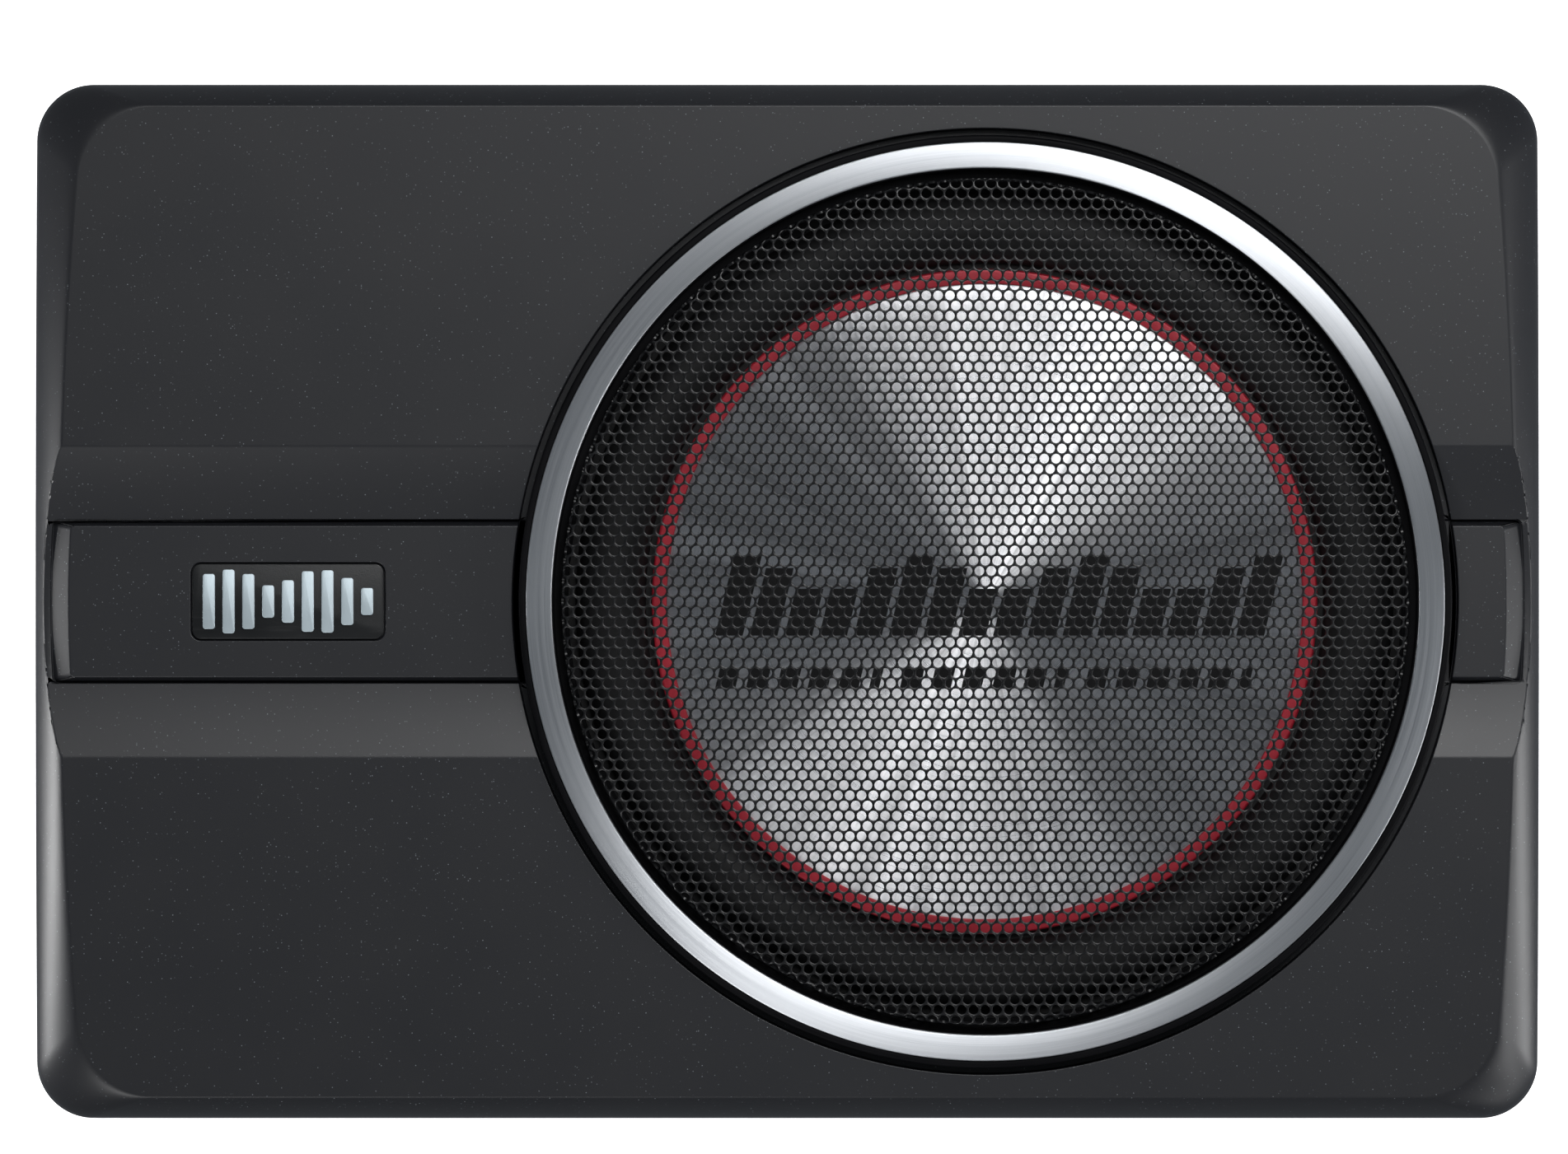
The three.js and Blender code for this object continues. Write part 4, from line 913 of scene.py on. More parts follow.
def makeBadge():
    low, high = badgeLow, badgeHigh
    outline = roundedOutline((badgeX, 0), high.x - low.x, high.y - low.y, 1.9)
    plate = slabMesh("badge", outline, low.z, high.z, 0.25)
    newPiece("badgePlate", plate, "enclosure", badgeGround, ["badge_plate"])
    lowE, highE = boxMm("badge_emblem")
    bars = []
    for k in range(badge["bars"]):
        x = badgeX + (k - (badge["bars"] - 1) / 2) * badge["pitch"]
        half = badge["shortest"] + badge["swing"] * abs(math.cos((k - 1) * math.pi / 4.6))
        bars.append(slabMesh("bar", roundedOutline((x, 0), badge["thick"], 2 * half, 0.6), lowE.z, highE.z,
                             0.12))
    emblem = joined("emblem", bars, 30)
    newPiece("badgeEmblem", emblem, "enclosure", emblemSilver, ["badge_emblem"])


makeBadge()

# screws: a pan head with a cross recess, and its thread as close rings
screws = {
    "base": {"shank": 1.7, "head": 3.4, "rise": 1.8, "reach": 12},
    "driver": {"shank": 1.5, "head": 2.8, "rise": 1.8, "reach": 8},
    "panel": {"shank": 1.3, "head": 2.7, "rise": 1.6, "reach": 8},
}
threadPitch = 0.9
headDown = Matrix.Rotation(math.pi, 4, "X")
headInward = Matrix.Rotation(math.pi / 2, 4, "Y")


def screwMesh(kind):
    shank, head, rise, reach = (screws[kind][k] for k in ("shank", "head", "rise", "reach"))
    root = shank * 0.78
    outline = [(0, -reach), (root * 0.5, -reach + 0.1)]
    for k in range(int((reach - 1.6) / threadPitch)):
        low = -reach + 1 + k * threadPitch
        outline += [(root, low), (shank, low + threadPitch * 0.5)]
    outline += [(root, -0.5), (shank, 0), (head, 0), (head, rise * 0.3)]
    outline += [(head * math.cos(t), rise * (0.3 + 0.7 * math.sin(t))) for t in (0.3, 0.6, 0.9, 1.2, 1.45)]
    outline.append((0, rise))
    body = turnedMesh("screw", outline, segments=32, closed=False)
    arm, thin = head * 0.62, 0.42
    slots = [boxMesh((-arm, -thin, rise * 0.45), (arm, thin, rise + 1)),
             boxMesh((-thin, -arm, rise * 0.45), (thin, arm, rise + 1))]
    return shade(cut(body, slots), 35)


def placed(mesh, turn, x, y, z):
    mesh.transform(Matrix.Translation((x * mm, y * mm, z * mm)) @ turn)
    return mesh


def makeScrews():
    upright = Matrix.Identity(4)
    for k in range(1, 7):
        x, y, _ = middleOf(f"base_screw_{k}")
        seat = boxMm(f"base_screw_{k}")[0].z + screws["base"]["rise"]
        newPiece(f"baseScrew{k}", placed(screwMesh("base"), headDown, x, y, seat), "enclosure", zincSteel,
                 [f"base_screw_{k}"])
        x, y, _ = middleOf(f"driver_screw_{k}")
        seat = boxMm(f"driver_screw_{k}")[1].z - screws["driver"]["rise"]
        newPiece(f"driverScrew{k}", placed(screwMesh("driver"), upright, x, y, seat), "enclosure",
                 screwSteel,
                 [f"driver_screw_{k}"])
    for k in range(1, 5):
        _, y, z = middleOf(f"panel_screw_{k}")
        seat = boxMm(f"panel_screw_{k}")[1].x - screws["panel"]["rise"]
        newPiece(f"panelScrew{k}", placed(screwMesh("panel"), headInward, seat, y, z), "enclosure",
                 zincSteel,
                 [f"panel_screw_{k}"])


makeScrews()

# pressed steel base with stiffening beads, a foam seal on it and rubber feet under it
base = {"edge": 0.5, "beadWide": 9, "beadDrop": 0.8, "beadY": (-52, 0, 52), "beadLong": 196,
        "holeRadius": 2.0, "sealWide": 2.2}
foot = {"hollow": 3.1, "hollowDepth": 1.1, "tread": (4.9, 6.6), "treadWide": 0.45, "treadDepth": 0.5}


def makeBase():
    low, high = boxMm("base_plate")
    halfX, halfY = high.x, high.y
    outline = [(x, y) for x, y, z in bowedOutline(halfX, halfY, shell["corner"], shell["sideBow"], 0, 12,
                                                  16)]
    plate = slabMesh("plate", outline, low.z, high.z, 0.2, base["edge"])
    beads = []
    for y in base["beadY"]:
        bead = roundedOutline((0, y), base["beadLong"], base["beadWide"], base["beadWide"] / 2.01)
        beads.append(slabMesh("bead", bead, low.z - base["beadDrop"], low.z + 0.3, 0,
                              base["beadDrop"] * 0.9))
    plate = cut(plate, beads, "UNION")
    plate = cut(plate, [cylinder(base["holeRadius"], 0, 9, 24, place) for place in pillarPlaces()])
    newPiece("basePlate", shade(plate, 28), "enclosure", baseSteel, ["base_plate"])
    sealLow, sealHigh = boxMm("base_gasket")
    rings = []
    for inset, z in ((0, sealLow.z), (-0.15, (sealLow.z + sealHigh.z) / 2), (0, sealHigh.z),
                     (base["sealWide"], sealHigh.z), (base["sealWide"], sealLow.z)):
        rings.append(bowedOutline(sealHigh.x - inset, sealHigh.y - inset, shell["corner"] - max(inset, 0),
                                  shell["sideBow"], z, 12, 16))
    newPiece("baseSeal", hoopMesh("seal", rings), "enclosure", foamSeal, ["base_gasket"])
    for k in range(1, 5):
        low, high = boxMm(f"rubber_foot_{k}")
        radius = 9
        corners = [(0, foot["hollowDepth"], 0), (foot["hollow"], foot["hollowDepth"], 0.2),
                   (foot["hollow"], 0, 0.3)]
        for tread in foot["tread"]:
            half, depth = foot["treadWide"], foot["treadDepth"]
            corners += [(tread - half, 0, 0.1), (tread - half * 0.7, depth, 0.1),
                        (tread + half * 0.7, depth, 0.1), (tread + half, 0, 0.1)]
        corners += [(radius - 1.1, 0, 0.4), (radius, 1.3, 0.5), (radius, high.z, 0), (0, high.z, 0)]
        mesh = turnedMesh("foot", filleted(corners, 3), ((low.x + high.x) / 2, (low.y + high.y) / 2), 64)
        newPiece(f"rubberFoot{k}", mesh, "enclosure", footRubber, [f"rubber_foot_{k}"])


makeBase()
print("base, feet and screws made")

# motor and the parts behind the disc, as seen when the object is taken apart
motor = {"gapRadius": 27, "poleRadius": 23.7, "magnetInner": 30, "formerWall": 0.5, "coilPitch": 0.45,
         "coneNeck": 25.2, "coneFlare": 1.35, "coneSkin": 0.8, "spiderWaves": 6, "spiderRise": 1.2,
         "spiderFlat": 48.2, "spiderInner": 26.4}


def makeMotor():
    axis = (driverX, 0)
    low, high = boxMm("top_plate")
    outer, gap = (high.x - low.x) / 2, motor["gapRadius"]
    outline = filleted([(gap, low.z, 0.2), (outer, low.z, 0.4), (outer, high.z, 0.6), (gap, high.z, 0.4)],
                       4)
    newPiece("topPlate", turnedMesh("topPlate", outline, axis, 96), "enclosure", plateSteel,
             ["top_plate"])
    low, high = boxMm("magnet")
    outer, inner = (high.x - low.x) / 2, motor["magnetInner"]
    outline = filleted([(inner, low.z, 0.3), (outer, low.z, 1.1), (outer, high.z, 1.1),
                        (inner, high.z, 0.3)], 4)
    newPiece("magnetRing", turnedMesh("magnet", outline, axis, 96), "enclosure", ferrite,
             ["magnet"])
    low, high = boxMm("pole_yoke")
    outer, pole, floorTop = (high.x - low.x) / 2, motor["poleRadius"], low.z + 5
    outline = filleted([(0, low.z + 0.6, 0), (8, low.z + 0.6, 0.3), (8.6, low.z, 0.3), (outer, low.z, 1.6),
                        (outer, floorTop, 0.5), (pole, floorTop, 0.8), (pole, high.z, 0.8), (0, high.z, 0)],
                       4)
    newPiece("poleYoke", turnedMesh("yoke", outline, axis, 96), "enclosure", plateSteel,
             ["pole_yoke"])
    low, high = boxMm("voice_coil_former")
    outer = (high.x - low.x) / 2
    outline = filleted([(outer - motor["formerWall"], low.z, 0.1), (outer, low.z, 0.1),
                        (outer, high.z, 0.1),
                        (outer - motor["formerWall"], high.z, 0.1)], 2)
    newPiece("coilFormer", turnedMesh("former", outline, axis, 96), "cone_assembly", formerMetal,
             ["voice_coil_former"])
    low, high = boxMm("voice_coil")
    outer, pitch = (high.x - low.x) / 2, motor["coilPitch"]
    turns = int((high.z - low.z) / pitch)
    outline = [(outer - 1.3, low.z)]
    for k in range(turns):
        outline += [(outer - 0.12, low.z + k * pitch), (outer, low.z + (k + 0.5) * pitch)]
    outline += [(outer - 0.12, low.z + turns * pitch), (outer - 1.3, high.z)]
    newPiece("voiceCoil", turnedMesh("coil", outline, axis, 96), "cone_assembly", coilCopper,
             ["voice_coil"])


# the cone's flare with pressed rings, and the spider's waves
def makeCone():
    low, high = boxMm("cone")
    neck, rim, skin = motor["coneNeck"], (high.x - low.x) / 2, motor["coneSkin"]
    neckZ, flatInner = low.z + skin + 0.4, rim - 5
    top = []
    steps = 48
    for k in range(steps + 1):
        share = k / steps
        rib = 0.14 * math.cos(share * 8 * math.pi) * math.sin(math.pi * share)
        top.append((mixed(neck, flatInner, share), mixed(neckZ, high.z, share ** motor["coneFlare"]) + rib))
    top.append((rim, high.z))
    under = [(radius, z - skin) for radius, z in top]
    cone = turnedMesh("cone", top + under[::-1], (driverX, 0), 120, angle=50)
    newPiece("conePaper", cone, "cone_assembly", conePulp, ["cone"])
    low, high = boxMm("spider")
    inner, flat, outer = motor["spiderInner"], motor["spiderFlat"], (high.x - low.x) / 2
    middle, waves = (low.z + high.z) / 2, motor["spiderWaves"]
    top = [(motor["coneNeck"], middle)]
    steps = 72
    for k in range(steps + 1):
        share = k / steps
        top.append((mixed(inner, flat, share),
                    middle - motor["spiderRise"] * math.sin(share * waves * 2 * math.pi) / 2))
    top.append((outer, middle))
    under = [(radius, z - 0.45) for radius, z in top]
    spider = newPiece("spiderWeave", turnedMesh("spider", top + under[::-1], (driverX, 0), 120, angle=60),
                      None,
                      spiderCloth, ["spider"])
    followCone(spider)


makeMotor()
makeCone()
print("motor and cone made")

# print on the disc: slanted level bars that rise and fall like a wave, over a row of short dashes
discPrint = {"startX": -57.4, "endX": 57, "baseY": -7.3, "tall": 13.2, "slant": 0.24, "barWide": 5.9,
             "barGap": 1.5,
             "bars": 16, "lowShare": 0.7, "highShare": 1.3, "waves": 3,
             "dashY": -16.4, "dashTall": 4.4, "dashWide": 4.3, "dashPitch": 6.55, "skin": 0.07}


def makeDiscPrint():
    low, high = driver["discHighZ"] - 0.02, driver["discHighZ"] + discPrint["skin"]

    def slanted(x, y, wide, tall):
        lean = discPrint["slant"] * tall
        return slabMesh("stroke", [(x, y), (x + wide, y), (x + wide + lean, y + tall),
                                   (x + lean, y + tall)], low, high)

    strokes = []
    pitch = discPrint["barWide"] + discPrint["barGap"]
    for k in range(discPrint["bars"]):
        swing = 0.5 + 0.5 * math.cos(2 * math.pi * discPrint["waves"] * k / (discPrint["bars"] - 1))
        share = mixed(discPrint["lowShare"], discPrint["highShare"], swing)
        x = driverX + discPrint["startX"] + k * pitch
        strokes.append(slanted(x, discPrint["baseY"], discPrint["barWide"], discPrint["tall"] * share))
    count = int((discPrint["endX"] - discPrint["startX"]) / discPrint["dashPitch"])
    for k in range(count + 1):
        x = driverX + discPrint["startX"] + k * discPrint["dashPitch"]
        wide = discPrint["dashWide"]
        if k % 6 == 5:
            wide *= 0.5  # a shorter dash marks each group of five
        strokes.append(slanted(x, discPrint["dashY"] - discPrint["dashTall"] / 2, wide,
                               discPrint["dashTall"]))
    newPiece("discPrint", joined("print", strokes, 30), "cone_assembly", printInk)


makeDiscPrint()

# connector bay: everything is built standing on the panel, then turned to face out of the short side
bayPanel = {"edge": 0.3, "rimWide": 0.9, "rimHigh": 0.5, "tickCount": 11, "tickInner": 6.6,
            "tickOuter": 8.2}
sockets = {
    "power_socket": {"nose": 8, "cavity": 12, "wall": 1.6, "body": 12, "pins": (3, 2),
                     "pinSize": (2.6, 1.0)},
    "high_level_socket": {"nose": 8, "cavity": 12, "wall": 1.6, "body": 12, "pins": (4, 2),
                          "pinSize": (0.9, 0.9)},
    "remote_socket": {"nose": 2, "cavity": 12, "wall": 1.6, "body": 12, "pins": (6, 1),
                      "pinSize": (0.55, 0.9)},
    "fuse_holder": {"nose": 5, "cavity": 9, "wall": 1.6, "body": 12, "pins": (0, 0), "pinSize": (0, 0)},
}
panelLow, panelHigh = boxMm("connector_panel")
panelZ = (panelLow.z + panelHigh.z) / 2
outward = Matrix(((0, 0, -1, 0), (-1, 0, 0, 0), (0, 1, 0, 0), (0, 0, 0, 1)))


# turns a mesh built on the XY plane so that its +Z points out of the bay, at that place along the row
def onPanel(mesh, y, z=panelZ):
    return placed(mesh, outward, panelLow.x, y, z)


# an open box: outside wall up, over a rounded lip, down inside to its floor
def cupMesh(name, sizeX, sizeY, radius, wall, lowH, highH, floorH, centreY=0.0):
    lip = wall * 0.3
    sections = ((0, lowH), (0, highH - lip), (lip * 0.3, highH - lip * 0.3), (lip, highH),
                (wall - lip, highH),
                (wall - lip * 0.3, highH - lip * 0.3), (wall, highH - lip), (wall, floorH))
    rings = []
    for inset, h in sections:
        outline = roundedOutline((0, centreY), sizeX - 2 * inset, sizeY - 2 * inset,
                                 max(radius - inset, 0.15), 5)
        rings.append([(x, y, h) for x, y in outline])
    return loftedMesh(name, rings)


def makeSockets():
    for node, size in sockets.items():
        low, high = boxMm(node)
        wide = high.y - low.y - 1.2
        tall = 2 * (high.z - 1 - panelZ)
        nose, cavity = size["nose"], size["cavity"]
        parts = [cupMesh("nose", wide, tall, 1.0, size["wall"], -3.0, nose, nose - cavity)]
        deep = min(-3.0, nose - cavity - 1.2)
        rear = roundedOutline((0, (high.z + low.z) / 2 - panelZ), wide + 1.2, high.z - low.z, 0.6, 3)
        parts.append(slabMesh("rear", rear, -2.1 - size["body"], deep, 0.3, 0.3))
        if size["nose"] > 4 and node != "fuse_holder":
            key = slabMesh("key", roundedOutline((0, tall / 2 - size["wall"] - 0.3), wide * 0.22, 1.2, 0.3,
                                                 3),
                           nose - cavity, nose - 1.2, 0.2)
            latch = slabMesh("latch", roundedOutline((0, tall / 2 + 0.25), wide * 0.3, 0.9, 0.3, 3),
                             0.5, nose - 1.6, 0.3)
            parts += [key, latch]
        first, *others = node.split("_")
        name = first + "".join(word.title() for word in others)
        body = onPanel(joined("socket", parts, 30), (low.y + high.y) / 2)
        newPiece(name, body, "enclosure", socketPlastic, [node])
        columns, rows = size["pins"]
        if not columns:
            continue
        spanX = wide - 2 * size["wall"]
        spanY = tall - 2 * size["wall"]
        pinX, pinY = size["pinSize"]
        pins = []
        for column in range(columns):
            for row in range(rows):
                place = ((column + 0.5) / columns * spanX - spanX / 2,
                         (row + 0.5) / rows * spanY - spanY / 2)
                pins.append(slabMesh("pin", roundedOutline(place, pinX, pinY, min(pinX, pinY) * 0.3, 2),
                                     nose - cavity - 0.5, nose - 2.6, min(pinX, pinY) * 0.28))
        contacts = onPanel(joined("pins", pins, 30), (low.y + high.y) / 2)
        newPiece(name + "Pins", contacts, "enclosure", goldPlate)
    low, high = boxMm("fuse")
    wide, tall, proud = high.y - low.y, high.z - low.z, panelLow.x - low.x
    grip = slabMesh("fuse", roundedOutline((0, 0), wide, tall, 0.7, 4), -3, proud, 0.5)
    waist = [slabMesh("waist", roundedOutline((side * wide * 0.27, end * tall / 2), wide * 0.24, 1.2, 0.4,
                                              3),
                      proud - 2.6, proud + 1) for end in (1, -1) for side in (-1, 1)]
    fuse = onPanel(shade(cut(grip, waist), 35), (low.y + high.y) / 2)
    newPiece("bladeFuse", fuse, "enclosure", amberFuse, ["fuse"])


# phono jacks: a plated barrel on a plastic body, an insulator in it and a coloured collar round its foot
phono = {"barrel": 4.15, "rise": 9, "bore": 3.35, "hole": 1.7, "collar": 5.1, "collarRise": 1.3,
         "body": 5.4}


def makePhono():
    for node, color in (("rca_jack_right", insulatorRed), ("rca_jack_left", insulatorWhite)):
        low, high = boxMm(node)
        y = (low.y + high.y) / 2
        name = "phonoRight" if color is insulatorRed else "phonoLeft"
        rise, barrel, bore = phono["rise"], phono["barrel"], phono["bore"]
        outline = filleted([(bore, -3, 0), (barrel, -3, 0), (barrel, rise - 2.2, 0.2),
                            (barrel - 0.18, rise - 2.0, 0.1), (barrel - 0.18, rise - 1.5, 0.1),
                            (barrel, rise - 1.3, 0.1), (barrel, rise, 0.35), (bore, rise, 0.25)], 3)
        shellPart = turnedMesh("barrel", outline, segments=64)
        outline = roundedOutline((0, (high.z + low.z) / 2 - panelZ), 2 * phono["body"], high.z - low.z, 0.6,
                                 3)
        rear = slabMesh("rear", outline, -14.1, -2.3, 0.3, 0.3)
        jack = onPanel(joined("jack", [shellPart, rear], 30), y)
        newPiece(name, jack, "enclosure", goldPlate, [node])
        outline = filleted([(phono["hole"], -2, 0), (bore - 0.03, -2, 0), (bore - 0.03, rise - 0.9, 0.3),
                            (phono["hole"], rise - 0.9, 0.3)], 3)
        core = turnedMesh("core", outline, segments=48)
        outline = filleted([(barrel + 0.05, 0.02, 0), (phono["collar"], 0.02, 0),
                            (phono["collar"], phono["collarRise"], 0.4),
                            (barrel + 0.05, phono["collarRise"], 0.1)], 3)
        collar = turnedMesh("collar", outline, segments=64)
        insulator = onPanel(joined("insulator", [core, collar], 30), y)
        newPiece(name + "Insulator", insulator, "enclosure", color)


# knobs: fluted sides, a dished top and a pale pointer; their shafts go through the panel into the pots
knob = {"radius": 5.45, "low": 0.6, "high": 8, "flutes": 20, "fluteDepth": 0.32, "shaft": 2.0,
        "dish": ((0.74, 0.04), (0.6, 0.3), (0.3, 0.42), (0.02, 0.44))}


def knobRing(radius, h, deep):
    ring = []
    for k in range(knob["flutes"] * 8):
        angle = 2 * math.pi * k / (knob["flutes"] * 8)
        wave = (0.5 + 0.5 * math.cos(angle * knob["flutes"])) ** 2
        reach = radius - deep * wave
        ring.append((reach * math.cos(angle), reach * math.sin(angle), h))
    return ring


def makeKnobs():
    radius, low, high = knob["radius"], knob["low"], knob["high"]
    for name in ("gain", "crossover"):
        y = middleOf(f"{name}_knob").y
        deep = knob["fluteDepth"]
        rings = [knobRing(radius - 0.2, low, 0), knobRing(radius, low + 0.25, 0),
                 knobRing(radius, low + 0.9, 0),
                 knobRing(radius, low + 1.3, deep), knobRing(radius - 0.25, high - 0.7, deep)]
        for t in (0.5, 1.0, math.pi / 2):
            rings.append(knobRing(radius - 0.25 - 0.7 * (1 - math.cos(t)), high - 0.7 + 0.7 * math.sin(t),
                                  deep * (1 - t / 1.6)))
        rings += [knobRing(radius * share, high - dish, 0) for share, dish in knob["dish"]]
        body = loftedMesh("knob", rings, 35)
        slot = boxMesh((-0.45, 1.5, high - 0.75), (0.45, radius + 1, high + 1))
        shaft = cylinder(knob["shaft"], -6, low + 0.2, 32)
        body = joined("knob", [shade(cut(body, [slot]), 32), shaft])
        newPiece(f"{name}Knob", onPanel(body, y), f"{name}_knob", knobPlastic,
                 [f"{name}_knob"])
        pointer = slabMesh("pointer", roundedOutline((0, (1.7 + radius - 0.9) / 2), 0.6, radius - 0.9 - 1.7,
                                                     0.15, 2),
                           high - 0.76, high - 0.12, 0.1)
        newPiece(f"{name}Pointer", onPanel(pointer, y), f"{name}_knob", insulatorWhite)
        lowP, highP = boxMm(f"{name}_pot")
        outline = roundedOutline((0, (highP.z + lowP.z) / 2 - panelZ), highP.y - lowP.y, highP.z - lowP.z,
                                 0.8, 3)
        can = slabMesh("can", outline, -10.1, -2.1, 0.25, 0.25)
        can = cut(can, [cylinder(knob["shaft"] + 0.3, -7.1, 0, 32)])
        newPiece(f"{name}Pot", onPanel(shade(can, 30), y), "enclosure", zincSteel,
                 [f"{name}_pot"])


# the slide switch: a ribbed stem standing out through the panel's slot, and its body behind the panel
switch = {"corner": 0.5, "edge": 0.2, "ribs": (-0.8, 0, 0.8), "ribHalf": 0.16, "ribDeep": 0.35,
          "wellHalf": (3.3, 1.8)}


def makeSwitch():
    low, high = boxMm("phase_switch_slider")
    y, half = (low.y + high.y) / 2, (high.y - low.y) / 2
    proud = panelLow.x - low.x
    stem = slabMesh("stem", roundedOutline((0, 0), 2 * half, 2 * half, switch["corner"], 4),
                    panelLow.x - high.x, proud,
                    switch["edge"])
    grooves = [boxMesh((x - switch["ribHalf"], -half - 1, proud - switch["ribDeep"]),
                       (x + switch["ribHalf"], half + 1, proud + 1)) for x in switch["ribs"]]
    stem = shade(cut(stem, grooves), 30)
    newPiece("phaseSlider", onPanel(stem, y), "phase_switch_slider", knobPlastic,
             ["phase_switch_slider"])
    low, high = boxMm("phase_switch_body")
    can = slabMesh("can", roundedOutline((0, (high.z + low.z) / 2 - panelZ), high.y - low.y, high.z - low.z,
                                         0.4, 3),
                   -8.1, -2.1, 0.2, 0.2)
    wide, tall = switch["wellHalf"]
    can = cut(can, [boxMesh((-wide, -tall, -5.1), (wide, tall, 0))])
    newPiece("phaseSwitch", onPanel(shade(can, 30), (low.y + high.y) / 2), "enclosure", switchSteel,
             ["phase_switch_body"])
    low, high = boxMm("power_led")
    outline = filleted([(0, -3, 0), (1.5, -3, 0), (1.5, 0.05, 0)], 1)
    outline += [Vector((1.5 * math.cos(t), 0.05 + 0.75 * math.sin(t))) for t in (0.3, 0.6, 0.9, 1.2, 1.45)]
    outline.append(Vector((0, 0.8)))
    lens = turnedMesh("lens", outline, segments=48)
    rear = slabMesh("rear", roundedOutline((0, (low.z + 2.2 + panelZ) / 2 - panelZ), 4,
                                           2.2 + panelZ - low.z, 0.3, 3),
                    -6.1, -2.1, 0.2, 0.2)
    newPiece("powerLamp", onPanel(joined("lamp", [lens, rear], 30), (low.y + high.y) / 2), "enclosure",
             ledRed,
             ["power_led"])


def makePanel():
    halfY, halfZ = (panelHigh.y - panelLow.y) / 2, (panelHigh.z - panelLow.z) / 2
    panel = slabMesh("panel", roundedOutline((0, 0), 2 * halfY, 2 * halfZ, 1.0), -2, 0, bayPanel["edge"])
    holes, rims = [], []
    for node in sockets:
        low, high = boxMm(node)
        wide, tall = high.y - low.y - 0.6, 2 * (high.z - 1 - panelZ) + 0.6
        place = (-(low.y + high.y) / 2, 0)
        holes.append(slabMesh("hole", roundedOutline(place, wide, tall, 1.2, 5), -4, 4))
        rim = bayPanel["rimWide"]
        rims.append(slabMesh("rim", roundedOutline(place, wide + 2 * rim, tall + 2 * rim, 2.0, 5),
                             -0.5, bayPanel["rimHigh"], 0.3))
    rounds = {"rca_jack_right": 4.45, "rca_jack_left": 4.45, "gain_knob": 2.6, "crossover_knob": 2.6,
              "power_led": 1.8}
    for node, radius in rounds.items():
        holes.append(cylinder(radius, -4, 4, 48, (-middleOf(node).y, 0)))
        if node == "power_led":
            rims.append(turnedMesh("rim", filleted([(radius - 0.5, -0.5, 0), (radius + 0.8, -0.5, 0),
                        (radius + 0.8, 0.4, 0.2), (radius - 0.5, 0.4, 0.2)], 3), (-middleOf(node).y, 0),
                                   40))
    slotY = -middleOf("phase_switch_body").y
    holes.append(slabMesh("slot", roundedOutline((slotY, 0), 6.6, 3.6, 0.3, 3), -4, 4))
    rims.append(slabMesh("rim", roundedOutline((slotY, 0), 8.6, 5.6, 0.8, 3), -0.5, 0.4, 0.2))
    for k in range(1, 5):
        low, high = boxMm(f"panel_screw_{k}")
        holes.append(cylinder(1.6, -4, 4, 24, (-(low.y + high.y) / 2, (low.z + high.z) / 2 - panelZ)))
    panel = cut(cut(panel, rims, "UNION"), holes)
    newPiece("connectorPanel", onPanel(shade(panel, 30), 0), "enclosure", panelPlastic,
             ["connector_panel"])
    # level marks round the knobs, and a short line at each end of the switch's slot
    marks = []
    for node in ("gain_knob", "crossover_knob"):
        for k in range(bayPanel["tickCount"]):
            angle = math.radians(240 - 300 * k / (bayPanel["tickCount"] - 1))
            inner, outer = bayPanel["tickInner"], bayPanel["tickOuter"]
            if k % 5:
                outer -= 0.6
            tick = slabMesh("tick", roundedOutline(((inner + outer) / 2, 0), outer - inner, 0.4, 0.1, 2),
                            -0.05, 0.06)
            tick.transform(Matrix.Translation((-middleOf(node).y * mm, 0, 0)) @ Matrix.Rotation(angle, 4,
                                                                                                "Z"))
            marks.append(tick)
    for side in (-1, 1):
        marks.append(slabMesh("tick", roundedOutline((slotY + side * 2, 4.6), 0.4, 1.4, 0.1, 2), -0.05,
                              0.06))
    newPiece("panelMarks", onPanel(joined("marks", marks), 0), "enclosure", insulatorWhite)


makePanel()
makeSockets()
makePhono()
makeKnobs()
makeSwitch()
print("connector bay made")

# amplifier board and what stands on it
amplifier = {"wraps": 54, "wrapSteps": 14, "wire": 0.62, "coreRadius": 4.9, "ring": 14, "chips": 26,
             "finThick": 3, "fins": 6, "finPitch": 9.8}


# a bar of wire wound round the toroid's core, as one closed tube
def woundCoil(centre):
    steps = amplifier["wraps"] * amplifier["wrapSteps"]
    wire, sides = amplifier["wire"], 6
    ringOf = []
    for k in range(steps):
        around = 2 * math.pi * k / steps
        turn = around * amplifier["wraps"]

        def onPath(u, t, lift):
            reach = amplifier["ring"] + (amplifier["coreRadius"] + lift) * math.cos(t)
            return Vector((reach * math.cos(u), reach * math.sin(u),
                           (amplifier["coreRadius"] + lift) * math.sin(t)))

        here = onPath(around, turn, wire)
        ahead = onPath(around + 1e-4, turn + 1e-4 * amplifier["wraps"], wire) - here
        up = (onPath(around, turn, wire + 1) - here).normalized()
        side = ahead.normalized().cross(up)
        ringOf.append([tuple(centre + here + wire * (math.cos(a) * up + math.sin(a) * side))
                       for a in (2 * math.pi * s / sides for s in range(sides))])
    return hoopMesh("winding", ringOf, 60)


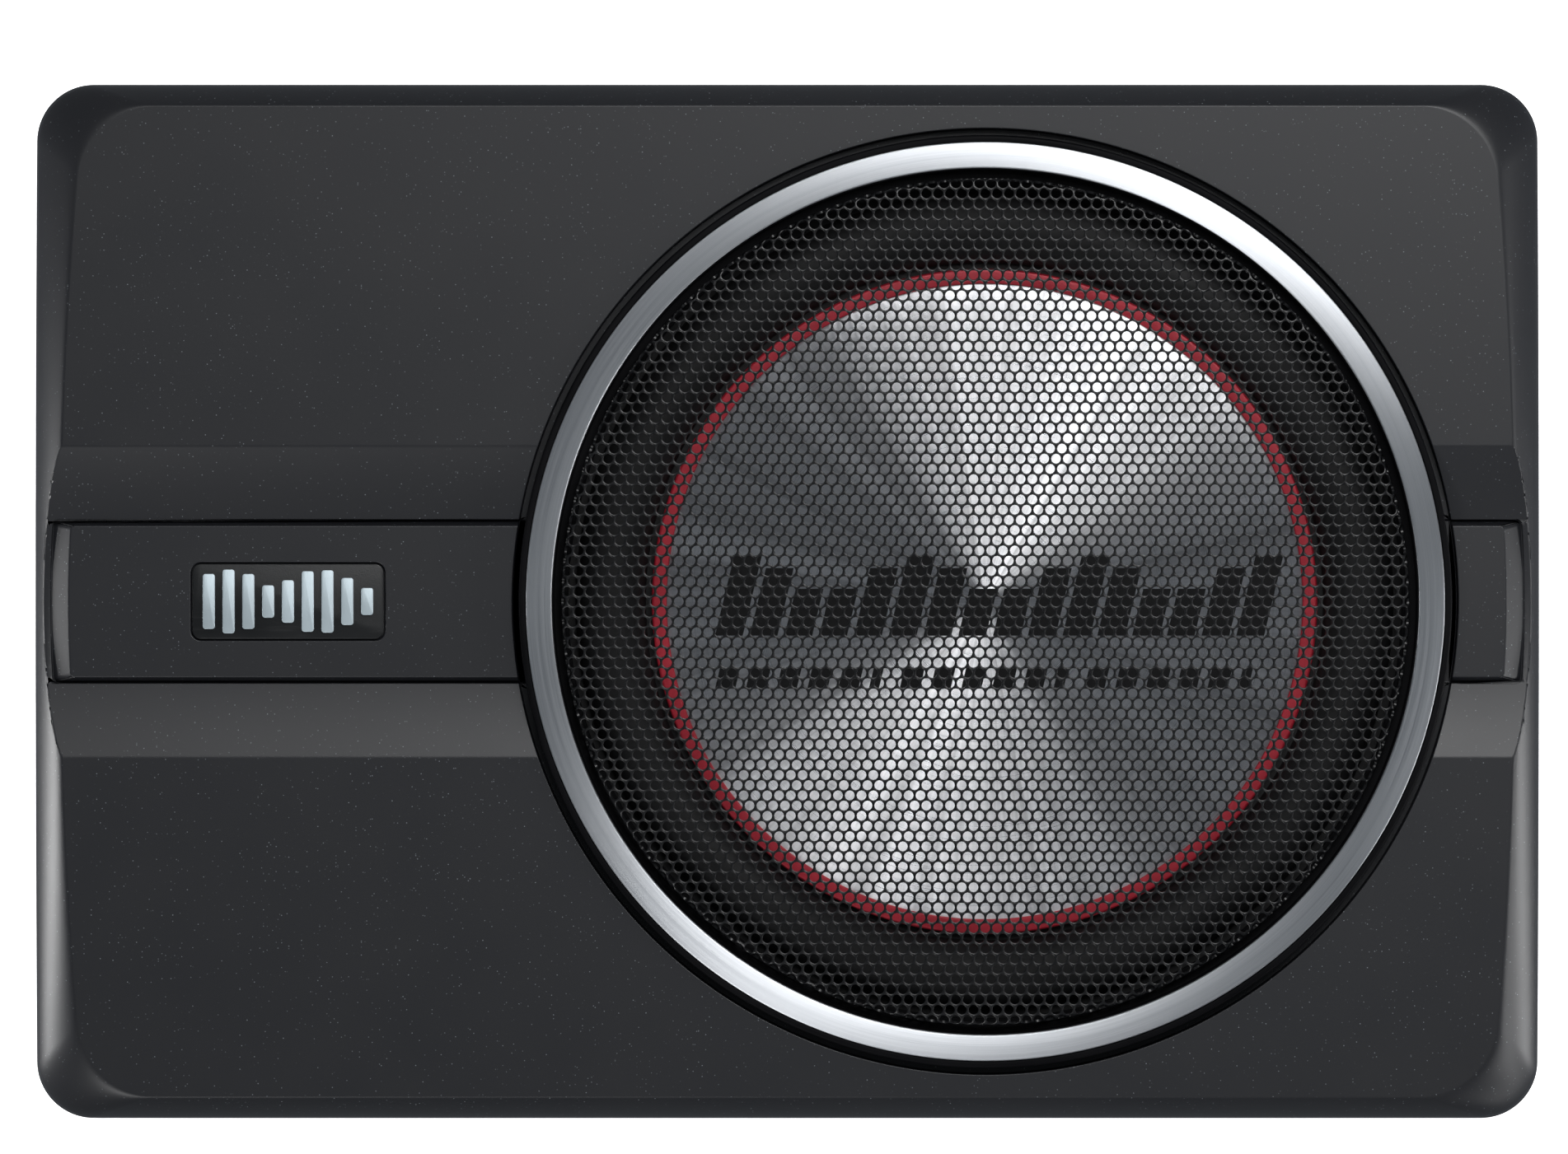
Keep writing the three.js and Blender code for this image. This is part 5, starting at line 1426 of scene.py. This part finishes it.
def makeAmplifier():
    low, high = boxMm("amp_board")
    board = slabMesh("board", roundedOutline(((low.x + high.x) / 2, 0), high.x - low.x, high.y - low.y, 2,
                                             4),
                     low.z, high.z, 0.1)
    posts = [(low.x + 18, s * (high.y - 6)) for s in (-1, 1)] + [(high.x - 6,
                                                                  s * (high.y - 6)) for s in (-1, 1)]
    board = cut(board, [cylinder(1.6, 0, 40, 24, place) for place in posts])
    newPiece("ampBoard", shade(board, 30), "enclosure", boardMask, ["amp_board"])
    chips = []
    for k in range(amplifier["chips"]):
        x = low.x + 30 + (k * 17) % 44
        y = low.y + 26 + (k * 31) % 46
        sizeX, sizeY = ((5, 4), (2, 1.2), (3.2, 1.6))[k % 3]
        chips.append(slabMesh("chip", roundedOutline((x, y), sizeX, sizeY, 0.2, 2), high.z - 0.02,
                              high.z + 1.1, 0.12))
    newPiece("boardChips", joined("chips", chips, 30), "enclosure", socketPlastic)
    low, high = boxMm("toroid_coil")
    centre = (low + high) / 2
    newPiece("toroidCoil", woundCoil(centre), "enclosure", coilCopper, ["toroid_coil"])
    for k in (1, 2):
        low, high = boxMm(f"capacitor_{k}")
        outline = filleted([(0, low.z, 0), (8, low.z, 0.8), (8, low.z + 2.2, 0.3), (7.6, low.z + 2.8, 0.3),
                            (8, low.z + 3.4, 0.3), (8, high.z, 1.0), (6.9, high.z, 0.2),
                            (6.7, high.z - 0.4, 0.2),
                            (0, high.z - 0.4, 0)], 4)
        x, y, _ = (low + high) / 2
        can = turnedMesh("can", outline, (x, y), 64)
        vents = [boxMesh((x - a, y - b, high.z - 0.65), (x + a, y + b, high.z + 1)) for a,
                 b in ((5, 0.2), (0.2, 5))]
        newPiece(f"capacitor{k}", shade(cut(can, vents), 30), "enclosure", canSleeve,
                 [f"capacitor_{k}"])
    low, high = boxMm("heat_spreader")
    middle, thick = (low.y + high.y) / 2, amplifier["finThick"]
    bar = slabMesh("bar", roundedOutline(((low.x + high.x) / 2, middle), high.x - low.x, high.y - low.y,
                                         0.5, 2),
                   low.z, low.z + 3, 0.2)
    fins = []
    for k in range(amplifier["fins"]):
        x = low.x + thick / 2 + k * amplifier["finPitch"]
        fins.append(slabMesh("fin", roundedOutline((x, middle), thick, high.y - low.y, 0.5, 2), low.z + 1,
                             high.z, 0.5))
    newPiece("heatFins", shade(cut(bar, fins, "UNION"), 30), "enclosure", barAluminium,
             ["heat_spreader"])


makeAmplifier()
print("amplifier made")

# the few nodes that stay as they are, behind the grille and under the disc
finishes = {"driver_frame": frameSteel, "driver_gasket": foamSeal}
for node, material in finishes.items():
    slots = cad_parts[node].data.materials
    slots.clear()
    slots.append(material)
